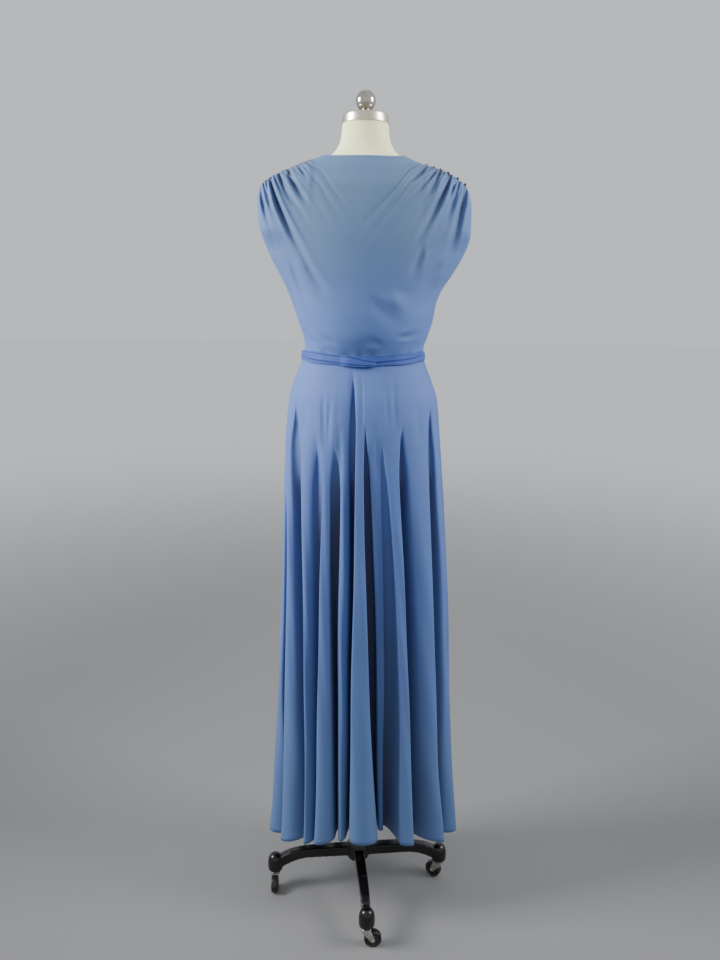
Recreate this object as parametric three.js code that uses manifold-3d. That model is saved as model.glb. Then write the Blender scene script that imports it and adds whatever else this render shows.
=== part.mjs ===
// A sleeveless maxi dress of crepe, on a limbless dress form with a four-armed castor stand.
// Millimetres, +Z up, origin on the floor under the pole.  The dress faces -Y, so its back,
// where the two bands of the sash cross, faces +Y.
import * as THREE from 'three';
import * as BufferGeometryUtils from 'three/addons/utils/BufferGeometryUtils.js';
import Module from 'manifold-3d';

const wasm = await Module();
wasm.setup();

// Driving sizes of the dress
const wall = 1.2;
const seamGap = 0.3;
const waistHeight = 1303;
const waistDip = 10;
const underarmHeight = 1522;
const shoulderTip = { left: 220, right: 216, z: 1655 };
const neckPoint = { x: 84, z: 1717 };
const backNeckHeight = 1709;
const frontNeckHeight = 1668;
const armholeOpening = 30;
const hemHeight = { side: 158, back: 216, front: 188 };

// Driving sizes of the stand
const armReach = 205;
const standTurn = THREE.MathUtils.degToRad(5.8);
const wheelRadius = 20;
const wheelSides = 16;
const wheelWidth = 16;
const trail = 14;
const axleRadius = 2.5;
const cupBottom = 51;
const tubeRadius = 14;
const poleRadius = 11.4;

const group = new THREE.Group();

const looks = {
  crepe: new THREE.MeshStandardMaterial({ color: 0x6285b4, roughness: 0.72, metalness: 0 }),
  sashCrepe: new THREE.MeshStandardMaterial({ color: 0x5a7cb4, roughness: 0.7, metalness: 0 }),
  cover: new THREE.MeshStandardMaterial({ color: 0xf3f2dc, roughness: 0.85, metalness: 0 }),
  nickel: new THREE.MeshStandardMaterial({ color: 0xb9b3aa, roughness: 0.32, metalness: 1 }),
  chrome: new THREE.MeshStandardMaterial({ color: 0xc9c6c1, roughness: 0.1, metalness: 1 }),
  casting: new THREE.MeshStandardMaterial({ color: 0x121013, roughness: 0.3, metalness: 0.2 }),
  zinc: new THREE.MeshStandardMaterial({ color: 0xd5d3c8, roughness: 0.28, metalness: 1 }),
  tyre: new THREE.MeshStandardMaterial({ color: 0x1c1a1a, roughness: 0.5, metalness: 0 }),
  button: new THREE.MeshStandardMaterial({ color: 0x232b38, roughness: 0.3, metalness: 0 }),
};

function addPiece(name, geometry, look, parent = group) {
  const piece = new THREE.Mesh(geometry, look);
  piece.name = name;
  parent.add(piece);
  return piece;
}

// Reads one column of a table against its height, smoothly.
function columnOf(rows, key) {
  const heights = rows.map((row) => row.z);
  const values = rows.map((row) => row[key]);
  const curve = new THREE.CubicInterpolant(heights, values, 1);
  const low = heights[0];
  const high = heights[heights.length - 1];
  return (z) => curve.evaluate(THREE.MathUtils.clamp(z, low, high))[0];
}

function smooth(value) {
  return THREE.MathUtils.smoothstep(value, 0, 1);
}

// The grid of a wall's inner points, from its outer points in rows by columns.  A grid that
// wraps is a ring, whose last column meets its first.
function insetGrid(outer, thickness, wraps = false) {
  const rows = outer.length;
  const columns = outer[0].length;
  const along = new THREE.Vector3();
  const across = new THREE.Vector3();
  return outer.map((line, r) => line.map((point, c) => {
    const before = wraps ? (c + columns - 1) % columns : Math.max(c - 1, 0);
    const after = wraps ? (c + 1) % columns : Math.min(c + 1, columns - 1);
    along.subVectors(outer[Math.min(r + 1, rows - 1)][c], outer[Math.max(r - 1, 0)][c]);
    across.subVectors(line[after], line[before]);
    const inward = along.clone().cross(across).setLength(thickness);
    return point.clone().add(inward);
  }));
}

// A closed wall between a grid of outer points and a grid of inner points.
function wallGeometry(outer, inner) {
  const rows = outer.length;
  const columns = outer[0].length;
  const positions = [...outer.flat(), ...inner.flat()].flatMap((p) => [p.x, p.y, p.z]);
  const half = rows * columns;
  const index = [];
  const quad = (a, b, c, d) => index.push(a, b, c, a, c, d);
  for (let r = 0; r < rows - 1; r += 1) {
    for (let c = 0; c < columns - 1; c += 1) {
      const a = r * columns + c;
      quad(a, a + 1, a + columns + 1, a + columns);
      quad(half + a, half + a + columns, half + a + columns + 1, half + a + 1);
    }
    const left = r * columns;
    const right = left + columns - 1;
    quad(left, left + columns, half + left + columns, half + left);
    quad(right, half + right, half + right + columns, right + columns);
  }
  for (let c = 0; c < columns - 1; c += 1) {
    const top = (rows - 1) * columns + c;
    quad(c, half + c, half + c + 1, c + 1);
    quad(top, top + 1, half + top + 1, half + top);
  }
  const geometry = new THREE.BufferGeometry();
  geometry.setAttribute('position', new THREE.Float32BufferAttribute(positions, 3));
  geometry.setIndex(index);
  return geometry;
}

// Waist line: level at the side seams, dipping to the centre back.
function waistAt(angle) {
  return waistHeight - waistDip * Math.max(0, Math.sin(angle)) ** 2;
}

// A ring that hangs wider to one side: its half width towards +X and towards -X.
function lopsided(cosine, left, right) {
  return ((left + right) / 2) * cosine + ((left - right) / 2) * cosine * cosine;
}

// Skirt.  Reach of the folds' crests to the wearer's left and right, and to front and back.
const skirtRings = [
  { z: 150, left: 223, right: 240, depth: 158 },
  { z: 250, left: 213, right: 234, depth: 155 },
  { z: 400, left: 203, right: 222, depth: 152 },
  { z: 625, left: 191, right: 210, depth: 148 },
  { z: 830, left: 182, right: 199, depth: 144 },
  { z: 1030, left: 175, right: 182, depth: 138 },
  { z: 1140, left: 170, right: 172, depth: 130 },
  { z: 1215, left: 162, right: 164, depth: 119 },
  { z: 1250, left: 153, right: 153, depth: 108 },
  { z: 1290, left: 137, right: 137, depth: 95 },
  { z: 1310, left: 131, right: 131, depth: 91 },
];
const skirtLeft = columnOf(skirtRings, 'left');
const skirtRight = columnOf(skirtRings, 'right');
const skirtDepth = columnOf(skirtRings, 'depth');

// Fold crests round the skirt from the left side seam over the back: left and right edge of
// each crest in degrees at the hip, at knee height and at the hem, the height where the valley
// after it starts, how deep that valley is at the hem, and how far the crest itself is set in.
const folds = [
  { hipL: -4, midL: -10, hemL: -12, hipR: 5, midR: 17, hemR: 21, start: 960, deep: 34, setIn: 0 },
  { hipL: 10, midL: 26.5, hemL: 29.5, hipR: 28, midR: 47, hemR: 54, start: 1205, deep: 62, setIn: 0 },
  { hipL: 38.5, midL: 49, hemL: 56, hipR: 52, midR: 57.5, hemR: 60.5, start: 1140, deep: 40, setIn: 2 },
  { hipL: 59.5, midL: 61.8, hemL: 62.3, hipR: 63.5, midR: 71, hemR: 75, start: 1180, deep: 58, setIn: 0 },
  { hipL: 72, midL: 75.3, hemL: 76.7, hipR: 79, midR: 81.5, hemR: 82.4, start: 1215, deep: 55, setIn: 6 },
  { hipL: 84.8, midL: 84.6, hemL: 83.8, hipR: 89, midR: 95.2, hemR: 102, start: 1150, deep: 72, setIn: 0 },
  { hipL: 95, midL: 101.3, hemL: 104, hipR: 103, midR: 109, hemR: 110.5, start: 1080, deep: 66, setIn: 40 },
  { hipL: 107, midL: 114, hemL: 114.5, hipR: 115, midR: 120.5, hemR: 126.5, start: 1185, deep: 74, setIn: 0 },
  { hipL: 122, midL: 129, hemL: 129, hipR: 141, midR: 146, hemR: 152, start: 1205, deep: 50, setIn: 0 },
  { hipL: 150, midL: 151, hemL: 155, hipR: 174, midR: 178, hemR: 181, start: 1000, deep: 40, setIn: 0 },
  { hipL: 186, midL: 187, hemL: 188, hipR: 196, midR: 200, hemR: 203, start: 1120, deep: 46, setIn: 0 },
  { hipL: 203, midL: 208, hemL: 210, hipR: 212, midR: 219, hemR: 222, start: 1165, deep: 60, setIn: 0 },
  { hipL: 220, midL: 226, hemL: 229, hipR: 228, midR: 236, hemR: 239, start: 1090, deep: 42, setIn: 5 },
  { hipL: 238, midL: 243, hemL: 245, hipR: 248, midR: 253, hemR: 255, start: 1190, deep: 62, setIn: 0 },
  { hipL: 257, midL: 260, hemL: 261, hipR: 268, midR: 272, hemR: 275, start: 1130, deep: 52, setIn: 0 },
  { hipL: 277, midL: 280, hemL: 282, hipR: 285, midR: 289, hemR: 291, start: 1175, deep: 56, setIn: 4 },
  { hipL: 294, midL: 297, hemL: 298, hipR: 303, midR: 309, hemR: 311, start: 1100, deep: 48, setIn: 0 },
  { hipL: 312, midL: 316, hemL: 318, hipR: 322, midR: 327, hemR: 329, start: 1160, deep: 54, setIn: 0 },
  { hipL: 332, midL: 335, hemL: 336, hipR: 344, midR: 342, hemR: 341, start: 1050, deep: 40, setIn: 0 },
];
const hipHeight = 1140;
const kneeHeight = 640;
const foldHem = 200;
const narrowFloor = 1.2;

// Smooth passage of an edge through its hip, knee and hem angles.
function edgeAngle(hip, knee, hem, z) {
  const height = THREE.MathUtils.clamp(z, foldHem, waistHeight);
  const below = (height - foldHem) / (kneeHeight - foldHem);
  const above = (height - foldHem) / (hipHeight - foldHem);
  const slope = (knee - hem) / (kneeHeight - foldHem);
  const bend = ((hip - hem) / (hipHeight - foldHem) - slope) / (hipHeight - kneeHeight);
  const straight = hem + (knee - hem) * below;
  const angle = straight + bend * (height - foldHem) * (height - kneeHeight);
  return height > hipHeight ? hem + (hip - hem) * Math.min(above, 1) : angle;
}

function hemAt(angle) {
  const across = Math.sin(angle) ** 2;
  const middle = Math.sin(angle) > 0 ? hemHeight.back : hemHeight.front;
  return hemHeight.side + (middle - hemHeight.side) * across;
}

function valleyDepth(fold, z) {
  const share = THREE.MathUtils.clamp((fold.start - z) / (fold.start - foldHem), 0, 1);
  return fold.deep * share ** 0.68;
}

// One ring of the skirt at a share of the way from waist to hem: for each fold its crest's left
// edge, middle and right edge, then the two corners of the valley floor after it.
const skirtShares = [0, 0.03, 0.07, 0.12, 0.18, 0.26, 0.36, 0.48, 0.62, 0.77, 0.89, 1];

function skirtPoint(angle, inset, share) {
  const top = waistAt(angle) - seamGap / 2;
  const z = top + (hemAt(angle) - top) * share;
  const x = lopsided(Math.cos(angle), skirtLeft(z) - inset, skirtRight(z) - inset);
  const y = (skirtDepth(z) - inset) * Math.sin(angle);
  return new THREE.Vector3(x, y, z);
}

function skirtRing(share) {
  const z = waistHeight + (foldHem - waistHeight) * share;
  const ring = [];
  folds.forEach((fold, i) => {
    const next = folds[(i + 1) % folds.length];
    const turn = i === folds.length - 1 ? 360 : 0;
    const left = edgeAngle(fold.hipL, fold.midL, fold.hemL, z);
    const right = edgeAngle(fold.hipR, fold.midR, fold.hemR, z);
    const nextLeft = edgeAngle(next.hipL, next.midL, next.hemL, z) + turn;
    const depth = valleyDepth(fold, z);
    const setIn = fold.setIn * valleyDepth(fold, z) / fold.deep;
    const rounding = Math.min(1, depth) * (1.5 + 0.08 * depth);
    const floorHalf = Math.max((nextLeft - right) * 0.18, narrowFloor);
    const floorMiddle = (right + nextLeft) / 2;
    const places = [
      { degrees: left, inset: setIn + rounding },
      { degrees: (left + right) / 2, inset: setIn },
      { degrees: right, inset: setIn + rounding },
      { degrees: floorMiddle - floorHalf, inset: depth },
      { degrees: floorMiddle + floorHalf, inset: depth },
    ];
    places.forEach((place) => {
      ring.push(skirtPoint(THREE.MathUtils.degToRad(place.degrees), place.inset, share));
    });
  });
  return ring;
}

const skirtOuter = skirtShares.map((share) => skirtRing(share)).reverse();
const skirtInner = insetGrid(skirtOuter, wall, true);
const ringLength = folds.length * 5;

// A panel of a ring between two of its columns, half a seam gap short at each side.
function ringPanel(rings, from, to) {
  return rings.map((ring) => {
    const at = (c) => ring[(c + ringLength) % ringLength];
    const line = [];
    for (let c = from; c <= to; c += 1) {
      line.push(at(c).clone());
    }
    const last = line.length - 1;
    line[0].add(at(from + 1).clone().sub(at(from)).setLength(seamGap / 2));
    line[last].add(at(to - 1).clone().sub(at(to)).setLength(seamGap / 2));
    return line;
  });
}

const leftSeamColumn = 1;
const centreBackColumn = 5 * 5 + 3;
const rightSeamColumn = 9 * 5 + 2;
const skirtPieces = [
  { name: 'skirt_back_left', from: leftSeamColumn, to: centreBackColumn },
  { name: 'skirt_back_right', from: centreBackColumn, to: rightSeamColumn },
  { name: 'skirt_front', from: rightSeamColumn, to: ringLength + leftSeamColumn },
];
skirtPieces.forEach((piece) => {
  const outer = ringPanel(skirtOuter, piece.from, piece.to);
  const inner = ringPanel(skirtInner, piece.from, piece.to);
  addPiece(piece.name, wallGeometry(outer, inner), looks.crepe);
});

// Bodice.  Reach of the silhouette to the wearer's left and right, and depth of the back and of
// the front from the side seams' plane, by height.  It blouses over the sash.
const bodiceRings = [
  { z: 1292, left: 136, right: 136, back: 94.4, front: 95 },
  { z: 1303, left: 132.6, right: 132.6, back: 94.2, front: 92.4 },
  { z: 1312, left: 129, right: 131, back: 95, front: 92.5 },
  { z: 1330, left: 127, right: 132, back: 103, front: 98 },
  { z: 1350, left: 130, right: 139, back: 110, front: 104 },
  { z: 1385, left: 142, right: 150, back: 113, front: 109 },
  { z: 1420, left: 154, right: 156, back: 113, front: 116 },
  { z: 1450, left: 166, right: 168, back: 113, front: 122 },
  { z: 1480, left: 181, right: 188, back: 114, front: 129 },
  { z: 1520, left: 202, right: 211, back: 115, front: 132 },
  { z: 1545, left: 211, right: 220, back: 115, front: 130 },
  { z: 1575, left: 219, right: 221.5, back: 113, front: 125 },
  { z: 1615, left: 223, right: 221, back: 108, front: 110 },
  { z: 1645, left: 222, right: 218.5, back: 103, front: 94 },
  { z: 1655, left: 220, right: 216, back: 100, front: 88 },
  { z: 1664, left: 213, right: 208, back: 96, front: 83 },
  { z: 1672, left: 203, right: 197, back: 92, front: 79 },
  { z: 1684, left: 180, right: 178, back: 86, front: 74 },
  { z: 1694, left: 154, right: 151, back: 79, front: 69 },
  { z: 1704, left: 130, right: 116, back: 71, front: 63 },
  { z: 1712, left: 104, right: 97, back: 64, front: 58 },
  { z: 1720, left: 83, right: 82, back: 58, front: 54 },
];
const bodiceLeft = columnOf(bodiceRings, 'left');
const bodiceRight = columnOf(bodiceRings, 'right');
const bodiceBack = columnOf(bodiceRings, 'back');
const bodiceFront = columnOf(bodiceRings, 'front');

function bodiceReach(hand, z) {
  return hand > 0 ? bodiceLeft(z) : bodiceRight(z);
}

// Folds that fall from the gathered shoulder seams: where each starts on the seam, where it
// passes and where it fades, as distance from the centre and height, with its depth and the
// half width it opens to.  side is +1 for the wearer's left, -1 for the right, 0 for both.
const drapes = [
  { side: 1, x0: 217, z0: 1658, x1: 207, z1: 1612, x2: 194, z2: 1565, depth: 4, open: 6 },
  { side: 1, x0: 203, z0: 1668, x1: 197, z1: 1640, x2: 192, z2: 1618, depth: 3.5, open: 4 },
  { side: 1, x0: 193, z0: 1672, x1: 170, z1: 1600, x2: 108, z2: 1500, depth: 7, open: 9 },
  { side: 1, x0: 176, z0: 1682, x1: 164, z1: 1645, x2: 132, z2: 1600, depth: 6, open: 7 },
  { side: 1, x0: 158, z0: 1690, x1: 140, z1: 1648, x2: 96, z2: 1590, depth: 5, open: 8 },
  { side: 1, x0: 140, z0: 1695, x1: 124, z1: 1672, x2: 106, z2: 1648, depth: 3.5, open: 5 },
  { side: 1, x0: 124, z0: 1700, x1: 112, z1: 1690, x2: 102, z2: 1680, depth: 2.5, open: 4 },
  { side: -1, x0: 132, z0: 1698, x1: 108, z1: 1672, x2: 78, z2: 1640, depth: 4, open: 7 },
  { side: -1, x0: 146, z0: 1694, x1: 130, z1: 1682, x2: 112, z2: 1664, depth: 3.5, open: 5 },
  { side: -1, x0: 156, z0: 1692, x1: 140, z1: 1656, x2: 106, z2: 1600, depth: 6, open: 7 },
  { side: -1, x0: 172, z0: 1684, x1: 158, z1: 1640, x2: 94, z2: 1518, depth: 8, open: 10 },
  { side: -1, x0: 184, z0: 1680, x1: 176, z1: 1655, x2: 164, z2: 1628, depth: 4, open: 5 },
  { side: -1, x0: 196, z0: 1672, x1: 182, z1: 1630, x2: 160, z2: 1580, depth: 5, open: 7 },
  { side: -1, x0: 206, z0: 1664, x1: 186, z1: 1570, x2: 162, z2: 1500, depth: 6, open: 12 },
];
const drapeSteps = 10;
const drapeLines = drapes.map((drape) => {
  const curve = new THREE.QuadraticBezierCurve(
    new THREE.Vector2(drape.x0, drape.z0),
    new THREE.Vector2(2 * drape.x1 - (drape.x0 + drape.x2) / 2, 2 * drape.z1 - (drape.z0 + drape.z2) / 2),
    new THREE.Vector2(drape.x2, drape.z2),
  );
  return { ...drape, points: curve.getPoints(drapeSteps) };
});

// How far the cloth lies below its fullest at a place, from the folds near it.
function drapeDepth(x, z) {
  let total = 0;
  drapeLines.forEach((line) => {
    if (Math.sign(x) !== line.side) return;
    let nearest = Infinity;
    let share = 0;
    line.points.forEach((point, i) => {
      const distance = Math.hypot(Math.abs(x) - point.x, z - point.y);
      if (distance < nearest) {
        nearest = distance;
        share = i / drapeSteps;
      }
    });
    const width = line.open * (0.5 + 0.9 * share);
    const fade = smooth((1 - share) * 3);
    total += line.depth * fade * Math.exp(-((nearest / width) ** 2));
  });
  return total;
}

// Height of the top edge over a place on the shoulder or neck.
function topEdge(x, neckHeight) {
  const out = Math.abs(x);
  if (out <= neckPoint.x) {
    return neckHeight + (neckPoint.z - neckHeight) * (out / neckPoint.x) ** 5;
  }
  let low = shoulderTip.z;
  let high = neckPoint.z + 2;
  for (let i = 0; i < 30; i += 1) {
    const middle = (low + high) / 2;
    if (bodiceReach(x, middle) > out) low = middle;
    else high = middle;
  }
  return low;
}

// A bodice half: side is +1 for the back and -1 for the front.
function bodicePanel(side, columnCount, rowShares, neckHeight) {
  const depthAt = side > 0 ? bodiceBack : bodiceFront;
  return rowShares.map((share) => {
    const line = [];
    for (let c = 0; c <= columnCount; c += 1) {
      const way = side > 0 ? c / columnCount : 1 - c / columnCount;
      const across = Math.cos(way * Math.PI);
      const topAcross = THREE.MathUtils.lerp(across, 1 - 2 * way, 0.55);
      const tip = across > 0 ? shoulderTip.left : shoulderTip.right;
      const topX = topAcross * tip;
      const top = topEdge(topX, neckHeight);
      const bottom = (side > 0 ? waistAt(way * Math.PI) : waistHeight) + seamGap / 2;
      const z = bottom + (top - bottom) * share;
      const fraction = THREE.MathUtils.lerp(across, topAcross, smooth(share));
      const reach = bodiceReach(across, z);
      const x = fraction * (z < shoulderTip.z ? reach : tip);
      const round = Math.sqrt(Math.max(0, 1 - (x / reach) ** 2));
      const gape = smooth((z - underarmHeight) / 45) * smooth((shoulderTip.z + 2 - z) / 40);
      let y = depthAt(z) * round + armholeOpening * gape * Math.abs(fraction) ** 6;
      const below = side > 0 ? drapeDepth(x, z) : 0.8 * drapeDepth(-x, z);
      y -= below * smooth((top - z) / 10) * smooth(y / 30);
      line.push(new THREE.Vector3(x, side * Math.max(y, seamGap / 2), z));
    }
    return line;
  });
}

const backRows = [0, 0.05, 0.11, 0.2, 0.32, 0.44, 0.55, 0.65, 0.74, 0.82, 0.89, 0.94, 0.98, 1];
const frontRows = [0, 0.05, 0.11, 0.24, 0.4, 0.54, 0.66, 0.77, 0.86, 0.94, 0.98, 1];
const backColumns = 50;
const frontColumns = 42;

// The inner points of a bodice half stay on their own side of the side seams' plane.
function bodiceGeometry(side, outer) {
  const inner = insetGrid(outer, wall);
  inner.flat().forEach((point) => {
    point.y = side * Math.max(side * point.y, seamGap / 2);
  });
  return wallGeometry(outer, inner);
}
const backOuter = bodicePanel(1, backColumns, backRows, backNeckHeight);
const frontOuter = bodicePanel(-1, frontColumns, frontRows, frontNeckHeight);
addPiece('bodice_back', bodiceGeometry(1, backOuter), looks.crepe);
addPiece('bodice_front', bodiceGeometry(-1, frontOuter), looks.crepe);

// Sash: a band from each side seam, crossed at the centre back.  Half height of the band and
// its middle height by share of the way from the side seam to the end.
const sashThickness = 2.2;
const sashClearance = 1.2;
const sashColumns = 22;
const sashRise = [
  { z: 0, half: 8, middle: 1311 },
  { z: 0.15, half: 11.5, middle: 1311 },
  { z: 0.45, half: 13, middle: 1306 },
  { z: 0.8, half: 11, middle: 1301 },
  { z: 1, half: 7, middle: 1299 },
];
const sashHalf = columnOf(sashRise, 'half');
const sashMiddle = columnOf(sashRise, 'middle');

function sashBand(hand, endDegrees, lift) {
  const rows = [-1, -0.4, 0.4, 1];
  return rows.map((row) => {
    const line = [];
    for (let c = 0; c <= sashColumns; c += 1) {
      const way = hand > 0 ? c / sashColumns : 1 - c / sashColumns;
      const degrees = 1 + (endDegrees - 1) * way;
      const angle = THREE.MathUtils.degToRad(hand > 0 ? degrees : 180 - degrees);
      const over = lift * smooth((degrees - 68) / 10);
      const bulge = 1.2 * (1 - row * row) + over;
      const z = sashMiddle(way) + row * sashHalf(way) - hand * 3 * smooth((degrees - 76) / 20);
      const side = Math.max(skirtLeft(z), bodiceReach(hand, z));
      const deepest = Math.max(skirtDepth(z), bodiceBack(z));
      const out = sashThickness + sashClearance + bulge;
      const x = (side + out) * Math.cos(angle);
      const y = (deepest + out) * Math.sin(angle);
      line.push(new THREE.Vector3(x, y, z));
    }
    return line;
  });
}
const sashLeft = sashBand(1, 101, 3.8);
const sashRight = sashBand(-1, 98, 0);
addPiece('sash_left', wallGeometry(sashLeft, insetGrid(sashLeft, sashThickness)), looks.sashCrepe);
addPiece('sash_right', wallGeometry(sashRight, insetGrid(sashRight, sashThickness)), looks.sashCrepe);

// Ball buttons along the right shoulder seam
const buttonRadius = 3.6;
const buttonPlaces = [128, 143, 157, 173, 192, 208];
buttonPlaces.forEach((x, i) => {
  const z = topEdge(-x, backNeckHeight);
  const button = addPiece(
    `shoulder_button_${i + 1}`,
    new THREE.IcosahedronGeometry(buttonRadius, 1),
    looks.button,
  );
  const slope = Math.atan2(topEdge(4 - x, backNeckHeight) - topEdge(-x - 4, backNeckHeight), 8);
  const away = buttonRadius + 0.35;
  button.position.set(-x - Math.sin(slope) * away, 0, z + Math.cos(slope) * away);
});

// Dress form: half width and depth behind and in front of the pole, by height.
const formRings = [
  { z: 1062, half: 132, back: 100, front: 92 },
  { z: 1070, half: 142, back: 108, front: 98 },
  { z: 1110, half: 147, back: 112, front: 101 },
  { z: 1160, half: 150, back: 112, front: 101 },
  { z: 1210, half: 148, back: 106, front: 96 },
  { z: 1260, half: 138, back: 93, front: 86 },
  { z: 1303, half: 122, back: 82, front: 79 },
  { z: 1340, half: 121, back: 84, front: 81 },
  { z: 1400, half: 138, back: 95, front: 92 },
  { z: 1450, half: 155, back: 100, front: 108 },
  { z: 1500, half: 172, back: 103, front: 124 },
  { z: 1540, half: 186, back: 104, front: 123 },
  { z: 1580, half: 197, back: 102, front: 114 },
  { z: 1620, half: 201, back: 97, front: 98 },
  { z: 1648, half: 200, back: 92, front: 84 },
  { z: 1660, half: 196, back: 88, front: 78 },
  { z: 1670, half: 188, back: 84, front: 73 },
  { z: 1682, half: 173, back: 79, front: 68 },
  { z: 1692, half: 142, back: 73, front: 61 },
  { z: 1702, half: 106, back: 66, front: 52 },
  { z: 1712, half: 81, back: 58, front: 46 },
  { z: 1721, half: 69, back: 54, front: 47 },
  { z: 1731, half: 59, back: 50, front: 46 },
  { z: 1747, half: 52, back: 47, front: 45 },
  { z: 1780, half: 47.5, back: 45, front: 45 },
];

// Closed loft through level rings, capped flat below and above.
function loftGeometry(rings, around) {
  const positions = [];
  const index = [];
  rings.forEach((ring) => {
    for (let i = 0; i < around; i += 1) {
      const angle = (i / around) * Math.PI * 2;
      const depth = Math.sin(angle) > 0 ? ring.back : ring.front;
      positions.push(ring.half * Math.cos(angle), depth * Math.sin(angle), ring.z);
    }
  });
  const bottomCentre = rings.length * around;
  positions.push(0, 0, rings[0].z, 0, 0, rings[rings.length - 1].z);
  for (let i = 0; i < around; i += 1) {
    const j = (i + 1) % around;
    for (let r = 0; r < rings.length - 1; r += 1) {
      const a = r * around;
      index.push(a + i, a + j, a + around + j, a + i, a + around + j, a + around + i);
    }
    const last = (rings.length - 1) * around;
    index.push(bottomCentre, j, i, bottomCentre + 1, last + i, last + j);
  }
  const geometry = new THREE.BufferGeometry();
  geometry.setAttribute('position', new THREE.Float32BufferAttribute(positions, 3));
  geometry.setIndex(index);
  return geometry;
}
addPiece('form_torso', loftGeometry(formRings, 28), looks.cover);

// A body turned about the upright axis from radius and height pairs; starts and ends on the axis.
function turned(profile, sides) {
  const points = profile.map(([radius, height]) => new THREE.Vector2(radius, height));
  const geometry = new THREE.LatheGeometry(points, sides);
  geometry.rotateX(Math.PI / 2);
  return geometry;
}

const capBottom = 1780.3;
const capTop = 1798;
addPiece('neck_cap', turned([
  [0, capBottom], [48.5, capBottom], [48.5, capTop - 1], [47.5, capTop], [0, capTop],
], 32), looks.nickel);

const ballCentre = 1826;
const ballRadius = 21.5;
const ballProfile = [[0, capTop + 0.3], [11, capTop + 0.3], [9, capTop + 3]];
const ballSteps = 8;
for (let i = 0; i <= ballSteps; i += 1) {
  const angle = THREE.MathUtils.lerp(-1.12, Math.PI / 2, i / ballSteps);
  const radius = i === ballSteps ? 0 : ballRadius * Math.cos(angle);
  ballProfile.push([radius, ballCentre + ballRadius * Math.sin(angle)]);
}
addPiece('finial_ball', turned(ballProfile, 18), looks.chrome);

// Pole: the inner pole is fixed under the form and slides in the tube that stands in the hub.
const tubeBottom = 86.3;
const tubeTop = 760;
const poleBottom = 470;
addPiece('pole_inner', turned([
  [0, poleBottom], [poleRadius, poleBottom], [poleRadius, 1053], [0, 1053],
], 20), looks.chrome);
addPiece('form_flange', turned([
  [0, 1053.3], [42, 1053.3], [42, 1061.7], [0, 1061.7],
], 24), looks.casting);

const tubeWall = 2;
addPiece('pole_tube', turned([
  [tubeRadius - tubeWall, tubeBottom], [tubeRadius, tubeBottom], [tubeRadius, tubeTop],
  [tubeRadius - tubeWall, tubeTop], [tubeRadius - tubeWall, tubeBottom],
], 20), looks.chrome);
addPiece('tube_collar', turned([
  [tubeRadius + 0.4, tubeTop - 34], [21, tubeTop - 34], [22, tubeTop - 30], [22, tubeTop - 2],
  [tubeRadius + 0.4, tubeTop - 2], [tubeRadius + 0.4, tubeTop - 34],
], 20), looks.casting);

// A closed mesh as a solid for joining, and a joined solid back as a mesh.
function solidOf(geometry) {
  const bare = geometry.index ? geometry.clone() : geometry;
  bare.deleteAttribute('normal');
  bare.deleteAttribute('uv');
  const merged = BufferGeometryUtils.mergeVertices(bare, 1e-4);
  return new wasm.Manifold(new wasm.Mesh({
    numProp: 3,
    vertProperties: new Float32Array(merged.attributes.position.array),
    triVerts: new Uint32Array(merged.index.array),
  }));
}

function geometryOf(solid) {
  const mesh = solid.getMesh();
  const geometry = new THREE.BufferGeometry();
  geometry.setAttribute('position', new THREE.Float32BufferAttribute(mesh.vertProperties, 3));
  geometry.setIndex(new THREE.Uint32BufferAttribute(mesh.triVerts, 1));
  return geometry;
}

// Side profile of one arm, from the hub out to its cup: level, then an arch down to the cup.
const armWidth = 25;
const armEndWidth = 19;

function armGeometry() {
  const side = new THREE.Shape();
  side.moveTo(0, 84);
  side.lineTo(118, 84);
  side.quadraticCurveTo(160, 82, armReach - 6, 56);
  side.lineTo(armReach - 6, 84);
  side.quadraticCurveTo(168, 103, 128, 106);
  side.lineTo(0, 108);
  side.closePath();
  const bevel = 2.5;
  const geometry = new THREE.ExtrudeGeometry(side, {
    depth: armWidth - 2 * bevel,
    bevelEnabled: true,
    bevelThickness: bevel,
    bevelSize: bevel,
    bevelOffset: -bevel,
    bevelSegments: 1,
    curveSegments: 4,
  });
  geometry.rotateX(Math.PI / 2);
  geometry.translate(0, armWidth / 2 - bevel, 0);
  const place = geometry.attributes.position;
  for (let i = 0; i < place.count; i += 1) {
    const taper = THREE.MathUtils.lerp(1, armEndWidth / armWidth, Math.max(0, place.getX(i)) / armReach);
    place.setY(i, place.getY(i) * taper);
  }
  return geometry;
}

// Web with hollow corners between the arms, around the hub.
function webGeometry() {
  const reach = 46;
  const half = armWidth / 2 - 1.5;
  const plan = new THREE.Shape();
  plan.moveTo(reach, -half);
  plan.lineTo(reach, half);
  plan.quadraticCurveTo(half + 4, half + 4, half, reach);
  plan.lineTo(-half, reach);
  plan.quadraticCurveTo(-half - 4, half + 4, -reach, half);
  plan.lineTo(-reach, -half);
  plan.quadraticCurveTo(-half - 4, -half - 4, -half, -reach);
  plan.lineTo(half, -reach);
  plan.quadraticCurveTo(half + 4, -half - 4, reach, -half);
  const geometry = new THREE.ExtrudeGeometry(plan, { depth: 20, bevelEnabled: false, curveSegments: 4 });
  geometry.translate(0, 0, 86);
  return geometry;
}

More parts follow.
